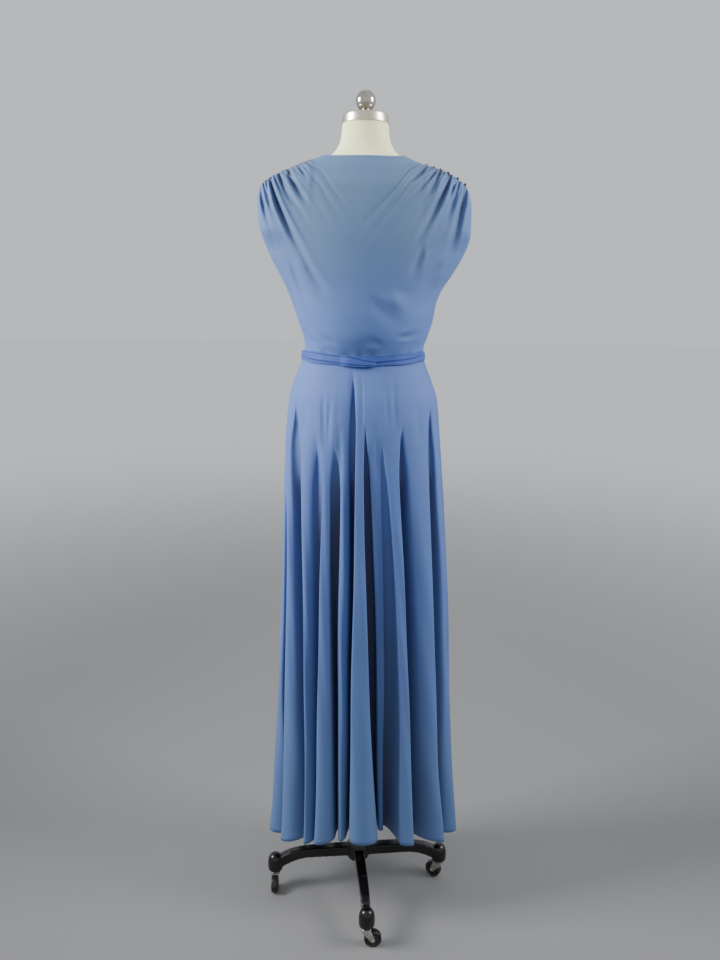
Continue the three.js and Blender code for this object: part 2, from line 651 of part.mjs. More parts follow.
const cupProfile = [
  [0, cupBottom], [16.6, cupBottom], [18.2, 56], [18.6, 66], [18.2, 76], [15.8, 86], [9.5, 93],
  [0, 95.3],
];
const arms = [0, 1, 2, 3].map((i) => ({ turn: standTurn + (i * Math.PI) / 2 }));
let casting = solidOf(webGeometry());
arms.forEach((arm) => {
  casting = casting.add(solidOf(armGeometry().rotateZ(arm.turn - standTurn)));
  const cup = turned(cupProfile, 16);
  cup.translate(armReach, 0, 0);
  casting = casting.add(solidOf(cup.rotateZ(arm.turn - standTurn)));
});
casting = casting.add(solidOf(turned([
  [0, 74], [24, 74], [27, 78], [27, 112], [22, 124], [0, 124],
], 24)));
casting = casting.subtract(solidOf(turned([
  [0, 86], [tubeRadius + 0.4, 86], [tubeRadius + 0.4, 130], [0, 130],
], 20)));
const stand = new THREE.Group();
stand.rotation.z = standTurn;
group.add(stand);
addPiece('stand_casting', geometryOf(casting), looks.casting, stand);

// Castors.  In its own frame a castor trails towards +X and its axle lies along Y.
const wheelFlat = wheelRadius * Math.cos(Math.PI / wheelSides);
const forkTop = cupBottom - 0.3;

function castorFork() {
  const plateThickness = 1.6;
  const plateOffset = wheelWidth / 2 + 0.8;
  const side = new THREE.Shape();
  side.moveTo(-11, 44.5);
  side.lineTo(trail - 5, wheelFlat - 1);
  side.absarc(trail, wheelFlat, 5, Math.PI * 1.05, Math.PI * 2.1, false);
  side.lineTo(11, 44.5);
  side.closePath();
  let fork = solidOf(turned([
    [0, 43.4], [11.6, 43.4], [12.4, 44.2], [12.4, forkTop - 1], [11.4, forkTop], [0, forkTop],
  ], 16));
  [-1, 1].forEach((hand) => {
    const plate = new THREE.ExtrudeGeometry(side, {
      depth: plateThickness, bevelEnabled: false, curveSegments: 4,
    });
    plate.rotateX(Math.PI / 2);
    plate.translate(0, hand * (plateOffset + plateThickness / 2) + plateThickness / 2, 0);
    fork = fork.add(solidOf(plate));
  });
  const bridge = new THREE.BoxGeometry(16, 2 * (plateOffset + plateThickness), 1.8);
  bridge.translate(0, 0, 43.8);
  fork = fork.add(solidOf(bridge));
  const axle = new THREE.CylinderGeometry(axleRadius, axleRadius, 2 * (plateOffset + 3), 10);
  axle.translate(trail, 0, 0);
  fork = fork.add(solidOf(axle.translate(0, 0, wheelFlat)));
  return geometryOf(fork);
}

// Wheel: a ring closed on itself, with rounded tread edges and dished sides.
function castorWheel() {
  const half = wheelWidth / 2;
  const bore = axleRadius + 0.55;
  const profile = [
    [bore, -half], [8, -half], [9.5, -half + 2], [14.5, -half + 2], [16.5, -half + 0.6],
    [wheelRadius, -half + 3.2], [wheelRadius, half - 3.2],
    [16.5, half - 0.6], [14.5, half - 2], [9.5, half - 2], [8, half],
    [bore, half], [bore, -half],
  ].map(([radius, height]) => new THREE.Vector2(radius, height));
  const wheel = new THREE.LatheGeometry(profile, wheelSides);
  wheel.rotateY(Math.PI / wheelSides);
  return wheel;
}

// Which way each castor trails at rest, in degrees, in the order of the arms.
const castorTrails = [90, 180, -35, -75];
arms.forEach((arm, i) => {
  const castor = new THREE.Group();
  castor.position.set(armReach * Math.cos(arm.turn), armReach * Math.sin(arm.turn), 0);
  castor.rotation.z = THREE.MathUtils.degToRad(castorTrails[i]);
  group.add(castor);
  addPiece(`castor_fork_${i + 1}`, castorFork(), looks.zinc, castor);
  const wheel = addPiece(`castor_wheel_${i + 1}`, castorWheel(), looks.tyre, castor);
  wheel.position.set(trail, 0, wheelFlat);
});

export default group;
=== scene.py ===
import math
from collections import namedtuple

import bmesh
import bpy
import numpy as np
from mathutils import Matrix, Vector


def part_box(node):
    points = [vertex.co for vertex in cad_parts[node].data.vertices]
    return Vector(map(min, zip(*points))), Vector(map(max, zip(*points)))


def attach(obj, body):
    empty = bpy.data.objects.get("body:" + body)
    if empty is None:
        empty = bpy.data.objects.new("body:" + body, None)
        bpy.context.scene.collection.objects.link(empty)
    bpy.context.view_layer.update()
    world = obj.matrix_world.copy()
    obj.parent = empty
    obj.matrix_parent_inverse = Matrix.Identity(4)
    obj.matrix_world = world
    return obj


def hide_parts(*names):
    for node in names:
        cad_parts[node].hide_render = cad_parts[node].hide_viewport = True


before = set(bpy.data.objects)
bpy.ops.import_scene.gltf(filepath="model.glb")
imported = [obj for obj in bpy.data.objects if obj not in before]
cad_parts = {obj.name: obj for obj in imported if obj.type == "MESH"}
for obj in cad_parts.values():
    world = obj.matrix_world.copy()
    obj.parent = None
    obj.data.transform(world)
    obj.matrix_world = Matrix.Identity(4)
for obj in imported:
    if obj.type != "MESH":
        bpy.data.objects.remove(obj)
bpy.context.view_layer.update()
bpy.ops.object.select_all(action="DESELECT")

# View and studio.  The camera stands behind the dress, a little above its waist, and looks down.
# The floor is a plain pale sheet that grows paler with distance, until it melts into the light
# behind it.  The light is soft: even all round, with a lamp on each side, the left one stronger.
MM = 0.001
CAMERA_PLACE = Vector((0.0042, 1.720, 1.3768))
CAMERA_DOWN = math.radians(11.356)
CAMERA_ROLL = math.radians(0.569)
PICTURE_LENS = 29.14
FLOOR_RADIUS = 60
FLOOR_NEAR, FLOOR_FAR = (0.25, 0.25, 0.252, 1), (0.95, 0.95, 0.955, 1)
FLOOR_PALER_FROM, FLOOR_PALEST_AT = -0.6, 8
SKY_COLOUR, SKY_STRENGTH = (0.50, 0.515, 0.535, 1), 1.36
LAMP_WIDTH, LAMP_HEIGHT = 0.8, 1.2
LAMP_SPREAD = math.radians(90)
LAMP_AIM = Vector((0, 0, 1.4))
STUDIO_LAMPS = (
    # name, place, watts
    ("window_light", (2.1, 0.45, 2.15), 31),
    ("right_lamp", (-1.9, 0.5, 2.2), 15),
)


class Wire:
    """Wraps a shader socket, so that sums and products on it add Math nodes."""

    def __init__(self, tree, socket=None):
        self.tree = tree
        self.socket = socket

    def node(self, kind, settings=(), inputs=(), output=0):
        """Adds a node of a type with its settings first, then the values or links of its sockets."""
        made = self.tree.nodes.new(kind)
        for name, value in dict(settings).items():
            setattr(made, name, value)
        for name, value in dict(inputs).items():
            if isinstance(value, Wire):
                self.tree.links.new(value.socket, made.inputs[name])
            else:
                made.inputs[name].default_value = value
        return Wire(self.tree, made.outputs[output])

    def maths(self, operation, first, second=0.0):
        """A sum, product or other operation on two values or wires."""
        return self.node("ShaderNodeMath", {"operation": operation}, {0: first, 1: second})

    def __add__(self, other):
        return self.maths("ADD", self, other)

    __radd__ = __add__

    def __sub__(self, other):
        return self.maths("SUBTRACT", self, other)

    def __rsub__(self, other):
        return self.maths("SUBTRACT", other, self)

    def __mul__(self, other):
        return self.maths("MULTIPLY", self, other)

    __rmul__ = __mul__

    def between(self, low, high):
        """0 below low, 1 above high, and a soft passage from one to the other."""
        settings = {"interpolation_type": "SMOOTHSTEP"}
        return self.node("ShaderNodeMapRange", settings, {"Value": self, "From Min": low, "From Max": high})

    def mixed(self, first, second):
        """A colour that passes from first to second as this value goes from 0 to 1."""
        settings = {"data_type": "RGBA", "clamp_factor": True}
        return self.node("ShaderNodeMix", settings, {0: self, 6: first, 7: second}, output=2)

    def speckle(self, scale, detail=2.0, roughness=0.5, stretch=(1, 1, 1)):
        """Noise over these coordinates, from 0 to 1."""
        placed = self.node("ShaderNodeMapping", {}, {"Vector": self, "Scale": stretch})
        values = {"Vector": placed, "Scale": scale, "Detail": detail, "Roughness": roughness}
        return self.node("ShaderNodeTexNoise", {}, values)

    def parts(self):
        """The X, Y and Z of these coordinates."""
        split = self.node("ShaderNodeSeparateXYZ", {}, {"Vector": self}).socket.node
        return [Wire(self.tree, split.outputs[axis]) for axis in range(3)]

    def relief(self, strength, distance):
        """A bumped normal from this height."""
        return self.node("ShaderNodeBump", {}, {"Strength": strength, "Distance": distance, "Height": self})


def tint(red, green, blue):
    """A screen colour, from 0 to 255, as the shader's own values."""
    shares = (red / 255, green / 255, blue / 255)
    return (*(v / 12.92 if v <= 0.04 else ((v + 0.055) / 1.055) ** 2.4 for v in shares), 1.0)


def new_finish(name, values):
    """A material with its constant values set: the material, its shader and its coordinates."""
    looks = bpy.data.materials.new(name)
    looks.use_nodes = True
    shader = looks.node_tree.nodes["Principled BSDF"]
    for socket, value in values.items():
        shader.inputs[socket].default_value = value
    place = Wire(looks.node_tree).node("ShaderNodeTexCoord", output=3)
    return looks, shader, place


def feed(shader, socket, wire):
    """Links a wire into a socket of the shader."""
    shader.id_data.links.new(wire.socket, shader.inputs[socket])


view = bpy.data.objects.new("picture_camera", bpy.data.cameras.new("picture_camera"))
bpy.context.scene.collection.objects.link(view)
view.data.lens = PICTURE_LENS
view.data.clip_start = 0.02
view.matrix_world = (
    Matrix.Translation(CAMERA_PLACE)
    @ Matrix.Rotation(math.pi, 4, "Z")
    @ Matrix.Rotation(math.pi / 2 - CAMERA_DOWN, 4, "X")
    @ Matrix.Rotation(CAMERA_ROLL, 4, "Z")
)
bpy.context.scene.camera = view

bpy.ops.mesh.primitive_circle_add(vertices=96, radius=FLOOR_RADIUS, fill_type="NGON")
floor = bpy.context.object
floor.name = "studio_floor"
floor_paint, shader, place = new_finish("studio_floor", {"Roughness": 0.7, "Specular IOR Level": 0.1})
away = place.node("ShaderNodeVectorMath", {"operation": "LENGTH"}, {0: place}, output="Value")
paler = place.node(
    "ShaderNodeMapRange", {"interpolation_type": "SMOOTHERSTEP"},
    {"Value": away, "From Min": FLOOR_PALER_FROM, "From Max": FLOOR_PALEST_AT},
)
feed(shader, "Base Color", paler.mixed(FLOOR_NEAR, FLOOR_FAR))
floor.data.materials.append(floor_paint)
floor.select_set(False)

sky = bpy.data.worlds.new("studio_light")
bpy.context.scene.world = sky
sky.use_nodes = True
background = sky.node_tree.nodes["Background"].inputs
background["Color"].default_value = SKY_COLOUR
background["Strength"].default_value = SKY_STRENGTH
for lamp_name, lamp_place, watts in STUDIO_LAMPS:
    lamp = bpy.data.objects.new(lamp_name, bpy.data.lights.new(lamp_name, "AREA"))
    lamp.data.shape = "RECTANGLE"
    lamp.data.size = LAMP_WIDTH
    lamp.data.size_y = LAMP_HEIGHT
    lamp.data.energy = watts
    lamp.data.spread = LAMP_SPREAD
    lamp.location = lamp_place
    lamp.rotation_euler = (LAMP_AIM - lamp.location).to_track_quat("-Z", "Y").to_euler()
    bpy.context.scene.collection.objects.link(lamp)

# Cast base.  One iron casting in glossy black enamel: a hub with four arms that arch down to
# egg-shaped cups, with hollow corners between them.  It is shaped from a hub, a web, arms and
# cups that are melted together, so every corner has a cast fillet.
STAND_TURN = math.radians(5.8)
ARM_REACH = 205
ARM_SECTIONS = (
    # distance out, bottom, top, width
    (0, 84, 108, 25),
    (55, 84, 107.2, 24.5),
    (105, 84, 106.6, 23),
    (130, 83, 105.6, 22),
    (150, 79, 103, 21.4),
    (168, 72, 99, 20.6),
    (184, 63.5, 92.5, 20),
    (199, 55, 84, 19.4),
)
HUB_PROFILE = ((24, 74), (27, 78), (27, 111), (25.5, 115), (22.5, 122), (21, 124))
CUP_PROFILE = (
    (15.6, 51), (17.2, 52.4), (18.2, 56), (18.6, 66), (18.3, 75), (17, 82.5), (14.2, 89),
    (9.4, 93.4), (4.4, 95),
)
WEB_RADIUS, WEB_THICK, WEB_MIDDLE = 47, 19, 95.5
WEB_NARROWING = (
    # degrees to each side of a corner's middle, what is left of the reach there
    (44, 0.80), (34, 0.80), (22, 0.84), (10, 0.94),
)
CAST_DETAIL = 1.5
CAST_SMOOTHING = 7


def choose(piece, kind, test):
    """Selects, in edit mode, the faces, edges or corners whose middle passes the test."""
    bpy.ops.mesh.select_mode(type={"faces": "FACE", "edges": "EDGE", "verts": "VERT"}[kind])
    bpy.ops.mesh.select_all(action="DESELECT")
    mesh = bmesh.from_edit_mesh(piece.data)
    for part in getattr(mesh, kind):
        if kind == "faces":
            middle = part.calc_center_median()
        elif kind == "edges":
            middle = (part.verts[0].co + part.verts[1].co) / 2
        else:
            middle = part.co
        part.select_set(bool(test(middle, part)))
    mesh.select_flush_mode()
    bmesh.update_edit_mesh(piece.data)


def apply_modifiers(piece):
    """Applies every modifier of a piece in order."""
    bpy.context.view_layer.objects.active = piece
    for modifier in list(piece.modifiers):
        bpy.ops.object.modifier_apply(modifier=modifier.name)


def draw_out(move, share, centre):
    """Extrudes what is selected by a move, in metres, and resizes its end about a centre."""
    bpy.ops.mesh.extrude_region_move(TRANSFORM_OT_translate={"value": move})
    bpy.ops.transform.resize(value=share, center_override=centre)


def turned(name, profile, sides, middle=(0, 0)):
    """Builds a round body up from its lowest ring, ring by ring, from radius and height pairs."""
    bpy.ops.object.select_all(action="DESELECT")
    radius, height = profile[0]
    bpy.ops.mesh.primitive_circle_add(
        vertices=sides, radius=radius * MM, fill_type="NGON",
        location=(middle[0] * MM, middle[1] * MM, height * MM),
    )
    piece = bpy.context.object
    piece.name = name
    bpy.ops.object.transform_apply(location=True, rotation=True, scale=True)
    bpy.ops.object.mode_set(mode="EDIT")
    bpy.ops.mesh.select_all(action="SELECT")
    for next_radius, next_height in profile[1:]:
        share = next_radius / radius
        centre = Vector((*middle, next_height)) * MM
        draw_out((0, 0, (next_height - height) * MM), (share, share, 1), centre)
        radius, height = next_radius, next_height
    bpy.ops.mesh.select_all(action="SELECT")
    bpy.ops.mesh.normals_make_consistent(inside=False)
    bpy.ops.object.mode_set(mode="OBJECT")
    return piece


def join(name, pieces):
    """Joins several pieces into the first."""
    bpy.ops.object.select_all(action="DESELECT")
    for piece in pieces:
        piece.select_set(True)
    bpy.context.view_layer.objects.active = pieces[0]
    bpy.ops.object.join()
    pieces[0].name = name
    pieces[0].data.name = name
    return pieces[0]


def settle(piece, body, looks, replaced, smooth_angle=40):
    """Gives a finished piece its material, its body and the solid it stands for."""
    bpy.ops.object.select_all(action="DESELECT")
    piece.select_set(True)
    bpy.context.view_layer.objects.active = piece
    bpy.ops.object.transform_apply(location=True, rotation=True, scale=True)
    bpy.ops.object.shade_smooth_by_angle(angle=math.radians(smooth_angle))
    piece.data.name = piece.name
    piece.data.materials.clear()
    piece.data.materials.append(looks)
    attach(piece, body)
    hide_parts(replaced)
    piece.select_set(False)


def cast_arm(number):
    """One arm, drawn out from the hub section by section."""
    out, bottom, top, width = ARM_SECTIONS[0]
    bpy.ops.object.select_all(action="DESELECT")
    bpy.ops.mesh.primitive_cube_add(size=MM, location=(-0.5 * MM, 0, (bottom + top) / 2 * MM))
    arm = bpy.context.object
    arm.scale = (1, width, top - bottom)
    bpy.ops.object.transform_apply(location=True, rotation=True, scale=True)
    bpy.ops.object.mode_set(mode="EDIT")
    choose(arm, "faces", lambda middle, face: face.normal.x > 0.9)
    for next_out, next_bottom, next_top, next_width in ARM_SECTIONS[1:]:
        rise = (next_bottom + next_top - bottom - top) / 2
        share = (1, next_width / width, (next_top - next_bottom) / (top - bottom))
        centre = (next_out * MM, 0, (next_bottom + next_top) / 2 * MM)
        draw_out(((next_out - out) * MM, 0, rise * MM), share, centre)
        out, bottom, top, width = next_out, next_bottom, next_top, next_width
    bpy.ops.object.mode_set(mode="OBJECT")
    arm.data.transform(Matrix.Rotation(STAND_TURN + number * math.pi / 2, 4, "Z"))
    return arm


def cup_axis(number):
    """Where the axis of a cup stands, in millimetres."""
    angle = STAND_TURN + number * math.pi / 2
    return ARM_REACH * math.cos(angle), ARM_REACH * math.sin(angle)


bpy.ops.mesh.primitive_cylinder_add(
    vertices=48, radius=WEB_RADIUS * MM, depth=WEB_THICK * MM, location=(0, 0, WEB_MIDDLE * MM),
)
web = bpy.context.object
bpy.ops.object.mode_set(mode="EDIT")
for half_spread, share in WEB_NARROWING:
    choose(web, "verts", lambda middle, vert: abs(
        math.degrees(math.atan2(middle.y, middle.x)) % 90 - 45) <= half_spread)
    bpy.ops.transform.resize(value=(share, share, 1), center_override=(0, 0, 0))
bpy.ops.object.mode_set(mode="OBJECT")
bpy.ops.object.transform_apply(location=True, rotation=True, scale=True)
web.data.transform(Matrix.Rotation(STAND_TURN, 4, "Z"))

cast_parts = [web, turned("hub", HUB_PROFILE, 64)]
for number in range(4):
    cast_parts.append(cast_arm(number))
    cast_parts.append(turned("cup", CUP_PROFILE, 48, cup_axis(number)))
cast_base = join("cast_base", cast_parts)
melt = cast_base.modifiers.new("melt", "REMESH")
melt.mode = "VOXEL"
melt.voxel_size = CAST_DETAIL * MM
soften = cast_base.modifiers.new("soften", "SMOOTH")
soften.factor = 0.5
soften.iterations = CAST_SMOOTHING
apply_modifiers(cast_base)

ENAMEL_BLACK = tint(17, 15, 18)
ENAMEL_DUST = tint(44, 42, 44)
enamel, shader, place = new_finish("black_enamel", {
    "Metallic": 0.0, "Coat Weight": 0.35, "Coat Roughness": 0.18, "Specular IOR Level": 0.3,
})
dust = place.speckle(38, 5, 0.62).between(0.55, 0.75)
orange_peel = place.speckle(420, 2)
feed(shader, "Base Color", (dust * 0.5).mixed(ENAMEL_BLACK, ENAMEL_DUST))
feed(shader, "Roughness", 0.2 + dust * 0.22)
feed(shader, "Normal", (orange_peel + place.speckle(60, 3) * 2.0).relief(0.12, 0.0006))
settle(cast_base, "stand", enamel, "stand_casting", smooth_angle=60)

# Castors.  Under each cup a pressed zinc fork with a flanged collar turns on its stem, and a
# solid black wheel rolls on a riveted axle between its two tapering cheeks.
CASTOR_TRAILS = (90, 180, -35, -75)
TRAIL = 14
WHEEL_RADIUS = 20
WHEEL_WIDTH = 16
AXLE_HEIGHT = WHEEL_RADIUS * math.cos(math.pi / 16)
COLLAR_PROFILE = (
    (9.4, 43.2), (12.2, 43.6), (12.6, 44.6), (12.4, 46.4), (11.2, 47.2), (11.2, 48.6),
    (12.3, 49.2), (12.3, 50.2), (11.6, 50.6),
)
CHEEK_OFFSET = 9.2
CHEEK_THICKNESS = 1.5
CHEEK_TOP = 44.2
CHEEK_BARS = (
    # length, height, middle along, how far the middle lies under the top
    (21, 2.4, -0.5, 1.2),
    (17, 2, 1.5, 8),
)
BRIDGE_LENGTH, BRIDGE_MIDDLE = 19, -0.5
BRIDGE_THICKNESS = 1.8
AXLE_BOSS = 5.2
AXLE_RADIUS = 2.5
WASHER_RADIUS, WASHER_THICKNESS = 4, 0.6
RIVET_RADIUS, RIVET_RISE, RIVET_OUT = 2.7, 1.4, 1.2
WHEEL_FACE = (
    # step inward and how far it sinks: tyre, its inner slope, disc, rise to the hub, hub, bore's rim
    (3.2, 0), (1.6, 1.6), (4.4, 0), (1.6, -1.9), (3.4, 0), (2.1, 0),
)
TYRE_ROUNDING = 3


def slab(size, middle):
    """A plain bar of a size at a place, in millimetres, as a start for shaping."""
    bpy.ops.object.select_all(action="DESELECT")
    bpy.ops.mesh.primitive_cube_add(size=MM, location=Vector(middle) * MM)
    piece = bpy.context.object
    piece.scale = size
    bpy.ops.object.transform_apply(location=True, rotation=True, scale=True)
    return piece


def cross_rod(radius, width, sides, middle):
    """A round rod that lies along Y."""
    bpy.ops.object.select_all(action="DESELECT")
    bpy.ops.mesh.primitive_cylinder_add(
        vertices=sides, radius=radius * MM, depth=width * MM,
        location=Vector(middle) * MM, rotation=(math.pi / 2, 0, 0),
    )
    piece = bpy.context.object
    bpy.ops.object.transform_apply(location=True, rotation=True, scale=True)
    return piece


def round_edges(piece, width, segments):
    """Rounds the sharp edges of a piece."""
    edges = piece.modifiers.new("round_edges", "BEVEL")
    edges.width = width * MM
    edges.segments = segments
    edges.limit_method = "ANGLE"
    apply_modifiers(piece)


def fork_cheek(hand):
    """One cheek of the fork, stretched between its broad top and the boss of the axle."""
    offset = hand * CHEEK_OFFSET
    bars = [
        slab((length, CHEEK_THICKNESS, height), (along, offset, CHEEK_TOP - under))
        for length, height, along, under in CHEEK_BARS
    ]
    boss = cross_rod(AXLE_BOSS, CHEEK_THICKNESS, 32, (TRAIL, offset, AXLE_HEIGHT))
    cheek = join("cheek", [*bars, boss])
    bpy.ops.object.mode_set(mode="EDIT")
    bpy.ops.mesh.select_all(action="SELECT")
    bpy.ops.mesh.convex_hull()
    bpy.ops.mesh.dissolve_limited(angle_limit=math.radians(2))
    bpy.ops.object.mode_set(mode="OBJECT")
    round_edges(cheek, 0.35, 2)
    return cheek


def axle_head(hand):
    """A domed rivet head and the washer under it."""
    offset = hand * (CHEEK_OFFSET + CHEEK_THICKNESS / 2)
    washer_place = (TRAIL, offset + hand * WASHER_THICKNESS / 2, AXLE_HEIGHT)
    washer = cross_rod(WASHER_RADIUS, WASHER_THICKNESS, 32, washer_place)
    head = cross_rod(RIVET_RADIUS, RIVET_RISE, 32, (TRAIL, offset + hand * RIVET_OUT, AXLE_HEIGHT))
    rivet = join("rivet", [washer, head])
    round_edges(rivet, 0.55, 3)
    return rivet


bridge_size = (BRIDGE_LENGTH, 2 * CHEEK_OFFSET + CHEEK_THICKNESS, BRIDGE_THICKNESS)
bridge = slab(bridge_size, (BRIDGE_MIDDLE, 0, CHEEK_TOP - BRIDGE_THICKNESS / 2))
round_edges(bridge, 0.8, 3)
axle = cross_rod(AXLE_RADIUS, 2 * CHEEK_OFFSET, 32, (TRAIL, 0, AXLE_HEIGHT))
collar = turned("collar", COLLAR_PROFILE, 48)
fork = join("fork", [
    bridge, fork_cheek(1), fork_cheek(-1), axle, axle_head(1), axle_head(-1), collar,
])

wheel = cross_rod(0.98 * WHEEL_RADIUS, WHEEL_WIDTH, 64, (TRAIL, 0, AXLE_HEIGHT))
bpy.ops.object.mode_set(mode="EDIT")
for hand in (1, -1):
    choose(wheel, "faces", lambda middle, face: face.normal.y * hand > 0.9)
    for inward, sink in WHEEL_FACE:
        bpy.ops.mesh.inset(thickness=inward * MM, depth=-sink * MM)
    bpy.ops.mesh.delete(type="FACE")
bpy.ops.mesh.select_mode(type="EDGE")
bpy.ops.mesh.select_all(action="DESELECT")
bpy.ops.mesh.select_non_manifold()
bpy.ops.mesh.bridge_edge_loops()
choose(wheel, "edges", lambda middle, edge: (
    math.hypot(middle.x - TRAIL * MM, middle.z - AXLE_HEIGHT * MM) > 0.95 * WHEEL_RADIUS * MM
    and abs(middle.y) > 0.49 * WHEEL_WIDTH * MM))
bpy.ops.mesh.bevel(offset=TYRE_ROUNDING * MM, segments=5)
bpy.ops.mesh.select_all(action="SELECT")
bpy.ops.mesh.normals_make_consistent(inside=False)
bpy.ops.object.mode_set(mode="OBJECT")

ZINC_BRIGHT = tint(206, 205, 198)
ZINC_DULL = tint(160, 158, 150)
zinc, shader, place = new_finish("bright_zinc", {"Metallic": 1.0})
spangle = place.speckle(90, 4, 0.6).between(0.35, 0.7)
feed(shader, "Base Color", spangle.mixed(ZINC_BRIGHT, ZINC_DULL))
feed(shader, "Roughness", 0.2 + spangle * 0.18)
feed(shader, "Normal", place.speckle(260, 3, 0.6, (1, 1, 4)).relief(0.1, 0.0003))

WHEEL_BLACK = tint(24, 23, 24)
WHEEL_DUST = tint(74, 72, 70)
wheel_black, shader, place = new_finish("wheel_black", {"Specular IOR Level": 0.45})
scuff = place.speckle(120, 5, 0.65).between(0.5, 0.72)
feed(shader, "Base Color", (scuff * 0.55).mixed(WHEEL_BLACK, WHEEL_DUST))
feed(shader, "Roughness", 0.38 + scuff * 0.3)
feed(shader, "Normal", place.speckle(500, 3).relief(0.15, 0.0004))

for number, trail_degrees in enumerate(CASTOR_TRAILS):
    across, along = cup_axis(number)
    stood = Matrix.Translation((across * MM, along * MM, 0)) @ Matrix.Rotation(
        math.radians(trail_degrees), 4, "Z")
    for source, kind, body, slot, looks in (
        (fork, "castor_fork", "castor", "zinc_plate", zinc),
        (wheel, "castor_wheel", "wheel", "black_wheel", wheel_black),
    ):
        copy = bpy.data.objects.new(f"{kind}_made_{number + 1}", source.data.copy())
        bpy.context.scene.collection.objects.link(copy)
        copy.data.transform(stood)
        settle(copy, f"{body}_{number + 1}", looks, f"{kind}_{number + 1}", smooth_angle=35)
for source in (fork, wheel):
    bpy.data.objects.remove(source)

# Poles.  A chromed tube stands in the hub, and the form's own pole slides in it and is held by
# a black clamping collar.  A round plate under the form carries the pole.
TUBE_PROFILE = ((13, 86.3), (14, 87.3), (14, 759), (13, 760))
POLE_PROFILE = ((10.4, 470), (11.4, 471), (11.4, 1053))
CLAMP_PROFILE = ((20, 726), (21.4, 727.5), (22, 730), (22, 752), (21, 757), (18.5, 759), (17, 759.4))
KNOB_PROFILE = ((5, 0), (5, 9), (9, 10), (9.6, 11), (9.6, 19), (8.6, 20.4), (4, 21))
KNOB_PLACE = Vector((0, 1, 743))
PLATE_PROFILE = ((40.5, 1053.3), (42, 1054.3), (42, 1060.7), (41.2, 1061.7))
CHROME_BRIGHT = tint(196, 189, 180)
CHROME_DULL = tint(160, 150, 140)
chrome, shader, place = new_finish("polished_chrome", {"Metallic": 1.0})
haze = place.speckle(26, 5, 0.6).between(0.45, 0.75)
feed(shader, "Base Color", haze.mixed(CHROME_BRIGHT, CHROME_DULL))
feed(shader, "Roughness", 0.06 + haze * 0.07)
feed(shader, "Normal", place.speckle(150, 2).relief(0.02, 0.0002))

settle(turned("chrome_tube", TUBE_PROFILE, 48), "stand", chrome, "pole_tube")
settle(turned("chrome_pole", POLE_PROFILE, 48), "form", chrome, "pole_inner")
knob = turned("knob", KNOB_PROFILE, 32)
knob.data.transform(Matrix.Translation(KNOB_PLACE * MM) @ Matrix.Rotation(-math.pi / 2, 4, "X"))
clamp_collar = join("clamp_collar", [turned("clamp", CLAMP_PROFILE, 48), knob])
settle(clamp_collar, "stand", enamel, "tube_collar")
settle(turned("form_plate", PLATE_PROFILE, 64), "form", enamel, "form_flange")

# Dress form.  A hard shell shaped like a limbless body, with a plain cream woven cover drawn
# smooth over it, sewn up the centre back and round the root of the neck.
FORM_RINGS = (
    # height, half width, back, front
    (1062, 131, 99, 91),
    (1070, 141, 107, 97),
    (1110, 146, 111, 100),
    (1160, 149, 111, 100),
    (1210, 147, 105, 95),
    (1260, 137, 92, 85),
    (1303, 121, 81, 78),
    (1340, 120, 83, 80),
    (1400, 137, 94, 91),
    (1450, 154, 99, 107),
    (1500, 171, 102, 122),
    (1540, 185, 103, 121),
    (1580, 196, 101, 112),
    (1620, 200, 96, 96),
    (1648, 199, 91, 82),
    (1660, 195, 87, 76),
    (1670, 187, 83, 71),
    (1682, 171, 78, 66),
    (1692, 140, 72, 60),
    (1702, 104, 65, 51),
    (1712, 80, 57, 45.5),
    (1721, 69, 54, 46),
    (1731, 59.5, 50, 45.5),
    (1747, 52, 47, 45),
    (1765, 49, 45.6, 45),
    (1780, 47.5, 45, 45),
)
FORM_STEP = 7
NECK_ROOT = 1728


def by_height(table, column):
    """Reads one column of a table against its first, height, as a smooth curve."""
    heights = np.array([line[0] for line in table], float)
    values = np.array([line[column] for line in table], float)
    slopes = np.gradient(values, heights)
    slopes[1:-1] = (values[2:] - values[:-2]) / (heights[2:] - heights[:-2])

    def read(height):
        height = np.clip(height, heights[0], heights[-1])
        i = np.clip(np.searchsorted(heights, height, side="right") - 1, 0, len(heights) - 2)
        gap = heights[i + 1] - heights[i]
        t = (height - heights[i]) / gap
        return (
            (2 * t**3 - 3 * t**2 + 1) * values[i] + (t**3 - 2 * t**2 + t) * gap * slopes[i]
            + (3 * t**2 - 2 * t**3) * values[i + 1] + (t**3 - t**2) * gap * slopes[i + 1]
        )

    return read


form_half, form_back, form_front = (by_height(FORM_RINGS, column) for column in (1, 2, 3))
bpy.ops.object.select_all(action="DESELECT")
bpy.ops.mesh.primitive_circle_add(vertices=96, radius=MM, fill_type="NGON")
cover = bpy.context.object
cover.name = "form_cover"
bpy.ops.object.mode_set(mode="EDIT")
bpy.ops.mesh.select_all(action="SELECT")
reach, depth, middle, level = 1.0, 1.0, 0.0, 0.0
form_levels = np.arange(FORM_RINGS[0][0], FORM_RINGS[-1][0] + FORM_STEP, FORM_STEP)
for step, height in enumerate(np.minimum(form_levels, FORM_RINGS[-1][0])):
    next_reach = float(form_half(height))
    next_depth = float(form_back(height) + form_front(height)) / 2
    next_middle = float(form_back(height) - form_front(height)) / 2
    move = (0, (next_middle - middle) * MM, float(height - level) * MM)
    if step == 0:
        bpy.ops.transform.translate(value=move)
    else:
        bpy.ops.mesh.extrude_region_move(TRANSFORM_OT_translate={"value": move})
    bpy.ops.transform.resize(
        value=(next_reach / reach, next_depth / depth, 1),
        center_override=(0, next_middle * MM, float(height) * MM),
    )
    reach, depth, middle, level = next_reach, next_depth, next_middle, float(height)
bpy.ops.mesh.select_all(action="SELECT")
bpy.ops.mesh.normals_make_consistent(inside=False)
bpy.ops.object.mode_set(mode="OBJECT")

